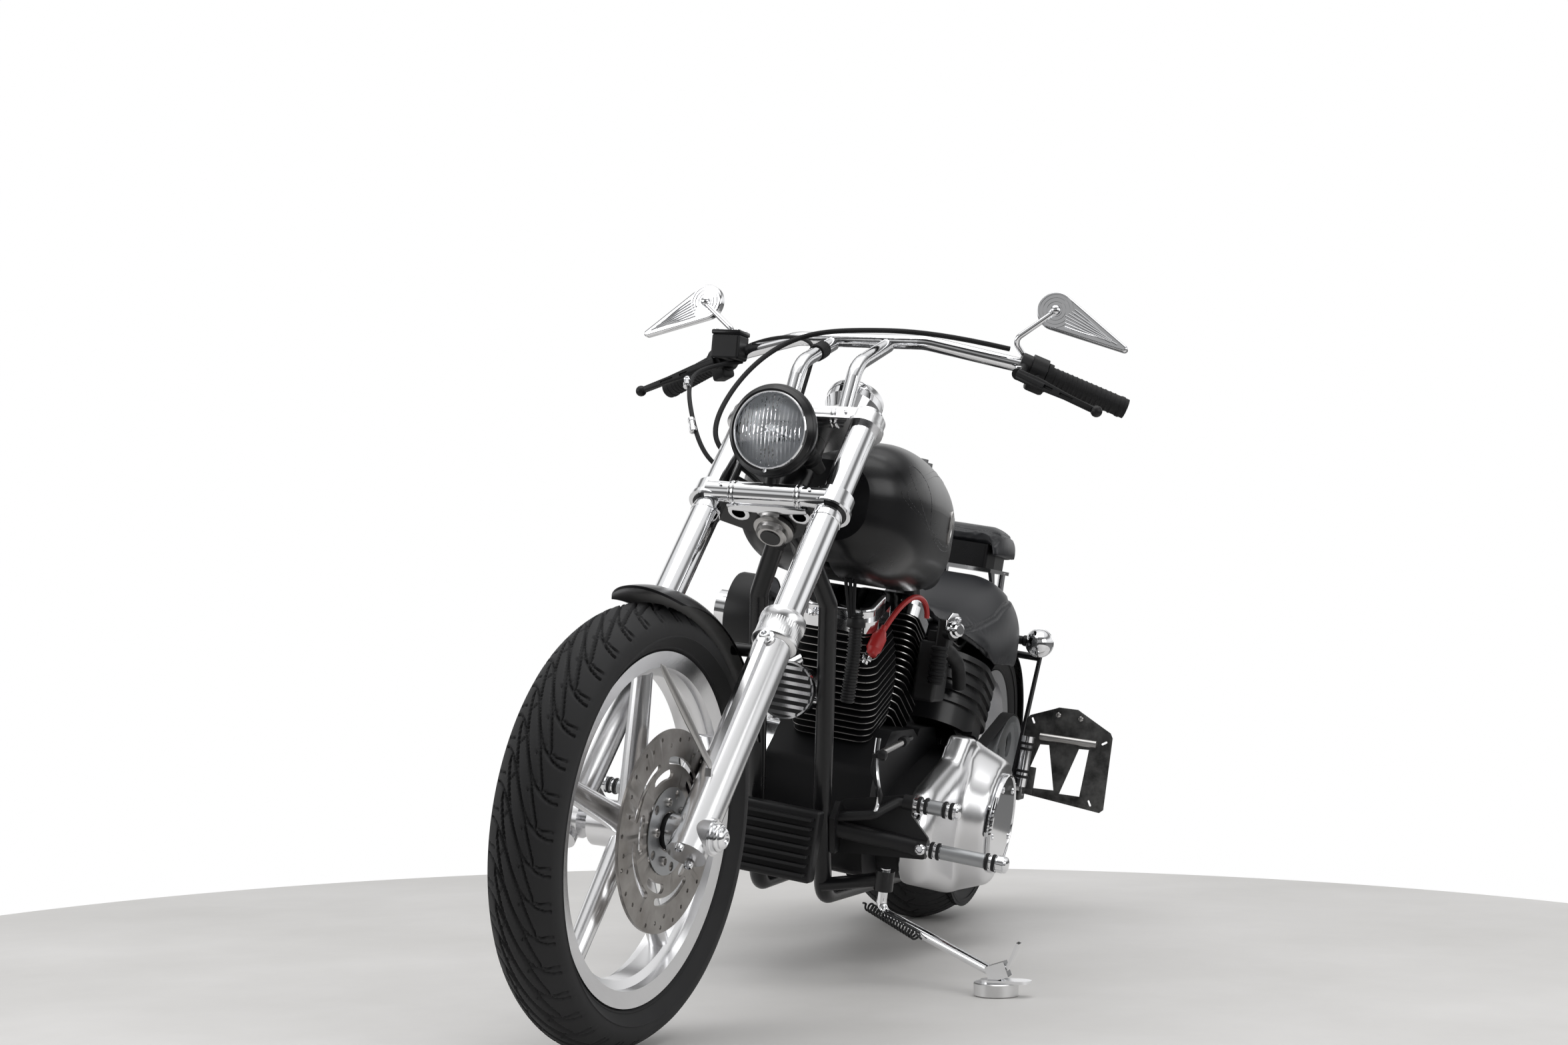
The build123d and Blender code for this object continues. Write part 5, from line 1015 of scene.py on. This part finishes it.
def remeshed(piece, voxel, smooth=0):
    grid = piece.modifiers.new("grid", "REMESH")
    grid.mode, grid.voxel_size = "VOXEL", voxel
    if smooth:
        soft = piece.modifiers.new("soft", "SMOOTH")
        soft.factor, soft.iterations = 0.5, smooth
    return apply_all(piece)


def plumped(piece, voxel, pressure, cap):
    """Even faces, a slightly smaller start, a few frames of cloth under pressure, and no point further than cap."""
    remeshed(piece, voxel, 6)
    start = piece.modifiers.new("start smaller", "DISPLACE")
    start.strength, start.mid_level = -0.003, 0.0
    apply_all(piece)
    before = [spot.co.copy() for spot in piece.data.vertices]
    cloth = piece.modifiers.new("cloth", "CLOTH")
    cloth.settings.use_pressure = True
    cloth.settings.uniform_pressure_force = pressure
    cloth.settings.effector_weights.gravity = 0
    cloth.settings.quality = 4
    for number in range(1, 21):
        bpy.context.scene.frame_set(number)
    apply_all(piece)
    bpy.context.scene.frame_set(1)
    for spot, home in zip(piece.data.vertices, before):
        move = spot.co - home
        if move.length > cap:
            spot.co = home + move * (cap / move.length)
    finer = piece.modifiers.new("finer", "SUBSURF")
    finer.levels = finer.render_levels = 1
    return apply_all(piece)


def surface_of(piece):
    graph = bpy.context.evaluated_depsgraph_get()
    return BVHTree.FromObject(piece, graph)


def laid_on(piece, points, direction):
    """Points of the upright bike dropped onto a piece's surface, as evenly spaced row points with normals."""
    tree = surface_of(piece)
    turn = parked.to_3x3()
    down = (turn @ Vector(direction)).normalized()
    hits = []
    for a, b in zip(points, points[1:]):
        a, b = Vector(a), Vector(b)
        for k in range(max(1, int((b - a).length / 2))):
            spot = parked @ ((a + (b - a) * k / max(1, int((b - a).length / 2))) / 1000)
            found = tree.ray_cast(spot, down)
            if found[0] is not None:
                hits.append((found[0], found[1]))
    return hits


def sewn(piece, hits, width=0.006, depth=0.0022):
    """Draw the surface in along a seam."""
    tree = KDTree(len(hits))
    for index, (spot, _) in enumerate(hits):
        tree.insert(spot, index)
    tree.balance()
    for corner in piece.data.vertices:
        _, _, distance = tree.find(corner.co)
        if distance < width:
            corner.co -= corner.normal * depth * (1 - (distance / width) ** 2)
    return piece


def stitches(name, piece, hits, aside, pitch=0.0055, length=0.0036, radius=0.00055):
    """Short threads along both sides of a seam."""
    tree = surface_of(piece)
    pattern = fresh("cylinder", "stitch", vertices=6, radius=radius, depth=length)
    soften(pattern, radius * 0.8, 1)
    places, walked, last = [], 0.0, None
    for (spot, normal), (after, _) in zip(hits, hits[1:]):
        step = (after - spot).length
        walked += step
        if walked < pitch or step < 1e-6 or step > 0.03:
            continue
        walked = 0.0
        along = (after - spot).normalized()
        side = along.cross(normal).normalized()
        for way in (1, -1):
            near, up, _, _ = tree.find_nearest(spot + side * aside * way)
            if near is not None:
                places.append(aim(near + up * 0.0001, along, up))
    return repeated(pattern, places) if places else pattern


def at_home(piece, finish, body, smooth=40):
    """Finish a piece that is already in the row's own metres."""
    piece.data.materials.clear()
    piece.data.materials.append(finish.material)
    bpy.ops.object.select_all(action="DESELECT")
    piece.select_set(True)
    bpy.context.view_layer.objects.active = piece
    bpy.ops.object.shade_smooth_by_angle(angle=math.radians(smooth))
    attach(piece, body)
    print(piece.name, len(piece.data.polygons), "faces")
    return piece


# %% rider's seat
def between_sections(sections, x):
    """Half width of a lofted body at x."""
    for (x0, w0), (x1, w1) in zip(sections, sections[1:]):
        if x1 <= x <= x0:
            return w0 + (w1 - w0) * (x0 - x) / (x0 - x1)
    return sections[-1][1]


SEAT_WIDTHS = [(424, 66), (360, 94), (270, 132), (180, 160), (100, 166), (20, 146), (-44, 92)]
seat_pad = plumped(node_copy("seat_pad", "seat"), 0.0045, 4.0, 0.006)
rim = [(x, 0.80 * between_sections(SEAT_WIDTHS, x)) for x in range(400, 40, -20)]
corner = [(26, 112), (6, 92), (-8, 66), (-14, 34)]
half_seam = [(x, y, 900) for x, y in rim + corner]
seat_seam = half_seam + [(-15, 0, 900)] + [(x, -y, 900) for x, y, _ in reversed(half_seam)]
seat_hits = laid_on(seat_pad, seat_seam, (0, 0, -1))
sewn(seat_pad, seat_hits, 0.0075, 0.0032)
thread = wear("seat_thread", (0.11, 0.11, 0.115), 0.5, 0.7, 0.0, grain=3000, strength=0.2)
fit_thread = stitches("seat_stitching", seat_pad, seat_hits, 0.0042)
fit_thread.name = "seat_stitching"
at_home(seat_pad, leather, "bike")
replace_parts(seat_pad, "seat")
at_home(fit_thread, thread, "bike")

# %% passenger's pad
PILLION_WIDTHS = [(80, 84), (50, 99), (-30, 99), (-110, 86), (-170, 64), (-204, 40)]
pillion_pad = plumped(node_copy("passenger_pad", "passenger_seat"), 0.004, 4.0, 0.005)
rim = [(66, 0), (66, 40), (60, 66)] + [(x, 0.84 * between_sections(PILLION_WIDTHS, x)) for x in range(40, -180, -20)] + [(-190, 26), (-194, 0)]
loop = [(x, y, 960) for x, y in rim] + [(x, -y, 960) for x, y in reversed(rim)]
pillion_hits = laid_on(pillion_pad, loop, (0, 0, -1))
sewn(pillion_pad, pillion_hits)
pillion_thread = stitches("passenger_stitching", pillion_pad, pillion_hits, 0.004)
pillion_thread.name = "passenger_stitching"
at_home(pillion_pad, leather, "bike")
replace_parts(pillion_pad, "passenger_seat")
at_home(pillion_thread, thread, "bike")

# %% [markdown]
# ## Castings
# The primary cover is one die casting: its dome, panel and rim flow into each other. The CAD solid has crisp
# meetings there, so a copy is remeshed finely and smoothed, which melts the corners as casting and polishing do.

# %% blended castings
cover = remeshed(node_copy("primary_casting", "primary_cover"), 0.003, 50)
at_home(cover, polished, "bike", smooth=60)
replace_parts(cover, "primary_cover")

# %% [markdown]
# ## Tank decoration
# The tank carries thin grey lines in long loops and a plain metal plaque. A line on a curved tank can't be drawn
# flat: its points are dropped onto the surface first, and a fine round bevel then follows them.

# %% pinstripes and plaque
def tank_line(name, points, side, radius=0.00055):
    """A closed fine line on the tank, from points in X and Z seen from the side."""
    tank = frame["nodes"]["fuel_tank"]
    tree = BVHTree.FromPolygons([v.co for v in tank.data.vertices], [list(f.vertices) for f in tank.data.polygons])
    inward = (parked.to_3x3() @ Vector((0, -side, 0))).normalized()
    hits = []
    for x, z in points:
        found = tree.ray_cast(parked @ (Vector((x, side * 320, z)) / 1000), inward)
        if found[0] is not None:
            hits.append(found[0] + found[1] * 0.0001)
    return cable(name, hits + hits[:1], radius, 6, 3)


def loop_points(centre, wide, high, tilt, pinch=0.35, count=40):
    """A teardrop loop seen from the side."""
    spots = []
    for k in range(count):
        a = math.tau * k / count
        x, z = wide * math.cos(a), high * math.sin(a) * (1 - pinch * math.cos(a))
        spots.append((centre[0] + x * math.cos(tilt) - z * math.sin(tilt), centre[1] + x * math.sin(tilt) + z * math.cos(tilt)))
    return spots


stripe_paint = wear("pinstripe_grey", (0.16, 0.16, 0.17), 0.35, 0.45, 0.0, strength=0.02)
for side, tag in ((1, "left"), (-1, "right")):
    stripes = [tank_line("stripe", loop_points((905, 868), 215, 66, 0.05), side),
               tank_line("stripe", loop_points((905, 868), 203, 58, 0.05), side),
               tank_line("stripe", loop_points((1040, 876), 62, 24, 0.9, -0.5), side)]
    at_home(joined("tank_pinstripe_" + tag, stripes), stripe_paint, "bike")
    tank = frame["nodes"]["fuel_tank"]
    tree = BVHTree.FromPolygons([v.co for v in tank.data.vertices], [list(f.vertices) for f in tank.data.polygons])
    spot, normal, _, _ = tree.ray_cast(parked @ Vector((0.800, side * 0.32, 0.840)), (parked.to_3x3() @ Vector((0, -side, 0))).normalized())
    plaque = lathe("tank_plaque_" + tag, [(31, -3), (32, 0), (32, 1.6), (30, 2.6), (27, 2.6), (26, 1.6), (25, 1.6), (6, 2.4)], 48)
    plaque.data.transform(Matrix.Scale(1.0, 4, (1, 0, 0)) @ Matrix.Scale(0.55, 4, (0, 1, 0)))
    plaque.data.transform(aim(spot, normal, parked.to_3x3() @ Vector((0, 0, 1))) @ Matrix.Scale(0.001, 4))
    at_home(plaque, steel, "bike")

# %% [markdown]
# ## Rear end
# The plate holder is bare worn steel, the lamps are bright globes on black stalks, and the folded passenger pegs
# carry the same rings as the front ones.

# %% plate holder, lamps, rear pegs
worn_steel = Finish("worn_steel_plate", (0.10, 0.10, 0.10), 0.4, 0.85)
rubbed = worn_steel.noise(22.0, 6.0, 0.65)
worn_steel.set("Base Color", worn_steel.ramp(rubbed, (0.34, (0.035, 0.035, 0.035)), (0.68, (0.16, 0.16, 0.158))))
worn_steel.set("Roughness", rubbed * 0.25 + 0.30)
holder = plate("plate_holder", [(194, 157), (187, 148), (184, -7), (190, -15), (376, -27), (384, -19), (380, 138), (374, 148), (304, 182),
                                (296, 186), (254, 184), (246, 180)], 3, 0.7)
windows = [plate("cutter", outline, 9) for outline in ([(225, 97), (245, 99), (270, 3), (199, -2)], [(311, 102), (333, 104), (328, 0), (283, -2)])]
slots_cut = []
for y, z, turn in ((202, 146, -60), (364, 124, 35), (352, -10, -60)):
    slot_cutter = box("cutter", (14, 4.5, 12), 2)
    slot_cutter.data.transform(Matrix.Translation((y, z, 2)) @ Matrix.Rotation(math.radians(turn), 4, "Z"))
    slots_cut.append(slot_cutter)
for window in windows:
    window.data.transform(Matrix.Translation((0, 0, -3)))
cut(holder, windows + slots_cut + [hole_cutter(4, 12, ((255, 167.4), (305, 167.4)))])
holder.data.transform(Matrix(((0, 0, 1, -28), (1, 0, 0, 0), (0, 1, 0, 324.6), (0, 0, 0, 1))))
carriers = []
for centre, size in (((-25, 211, 339.6), (6, 28, 60)), ((-4, 203, 324.6), (54, 8, 56))):
    carrier = box("carrier", size, 1.5)
    carrier.data.transform(Matrix.Translation(centre))
    carriers.append(carrier)
holder = joined("plate_holder", [holder] + carriers)
fit(holder, worn_steel, "bike")
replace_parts(holder, "plate_bracket")
lamp_bar = lathe("plate_lamp_bar", [(5, 0), (8.2, 1.5), (8.2, 126), (5, 128)], 28)
fit(lamp_bar, steel, "bike", aim((-18.5, 222, 439.6), (0, 1, 0.03)))
nuts = lathe("plate_screws", [(6, 0), (6, 3), (4.4, 4), (2, 4.4)], 6)
fit(repeated(nuts, [Matrix.Translation((y, z, 0)) for y, z in ((255, 492), (305, 492))]), steel, "bike",
    Matrix(((0, 0, 1, -25), (1, 0, 0, 0), (0, 1, 0, 0), (0, 0, 0, 1))))
for side, tag in ((1, "left"), (-1, "right")):
    stalk = lathe("signal_stalk_" + tag, [(8, 0), (9.5, 2), (9.5, 30), (12, 33), (12.5, 42), (11, 46)], 28)
    fit(stalk, satin_black, "bike", aim((-36, side * 118, 640), (0, side, 0)))
    seam = ring("signal_rim_" + tag, [(30.4, -2), (31.6, -1.4), (32, 0), (31.6, 1.4), (30.4, 2)], 64)
    fit(seam, chrome, "bike", aim((-36, side * 186, 640), (-1, 0, 0)))
    bands = []
    for height in (348, 360, 408, 420):
        band = ring("band", [(11.6, 0), (14.6, 0.5), (15, 3), (14.6, 6), (11.6, 6.5)], 28)
        band.data.transform(aim((50 - (height - 330) * 0.04, side * 211, height), (-0.04, 0, 1)))
        bands.append(band)
    fit(joined("rear_peg_rings_" + tag, bands), rubber, "bike")

# %% [markdown]
# ## Side stand
# A coil spring pulls the stand up. It is one curve that winds round the spring's own axis.

# %% stand spring
turns, coil, start, stop = 17, 8.0, Vector((940, 150, 150)), Vector((1010, 262, 128))
spring_axis = (stop - start).normalized()
side_way = spring_axis.orthogonal().normalized()
up_way = spring_axis.cross(side_way)
winding = [start + (stop - start) * (k / (turns * 8)) + side_way * coil * math.cos(k * math.tau / 8) + up_way * coil * math.sin(k * math.tau / 8)
           for k in range(turns * 8 + 1)]
spring = cable("stand_spring", [tuple(start - spring_axis * 14)] + [tuple(p) for p in winding] + [tuple(stop + spring_axis * 14)], 1.9, 8, 3)
fit(spring, satin_black, "stand")

# %% air filter band and horn
filter_band = ring("filter_band", [(72, 185), (75.5, 186), (76, 190), (76, 246), (74, 250.6), (40, 250.8), (38, 249), (72, 248)], 96)
fit(filter_band, satin_black, "bike", aim((748, 0, 622), (0, -1, 0)))
horn_face = lathe("horn_face", [(46, 0), (46.6, 0.6), (46.6, 1.6), (40, 1.8)], 64)
fit(horn_face, satin_black, "bike", aim((1150, 0, 515), (1, 0, 0)))
frame["nodes"]["horn"].data.materials[0] = chrome.material
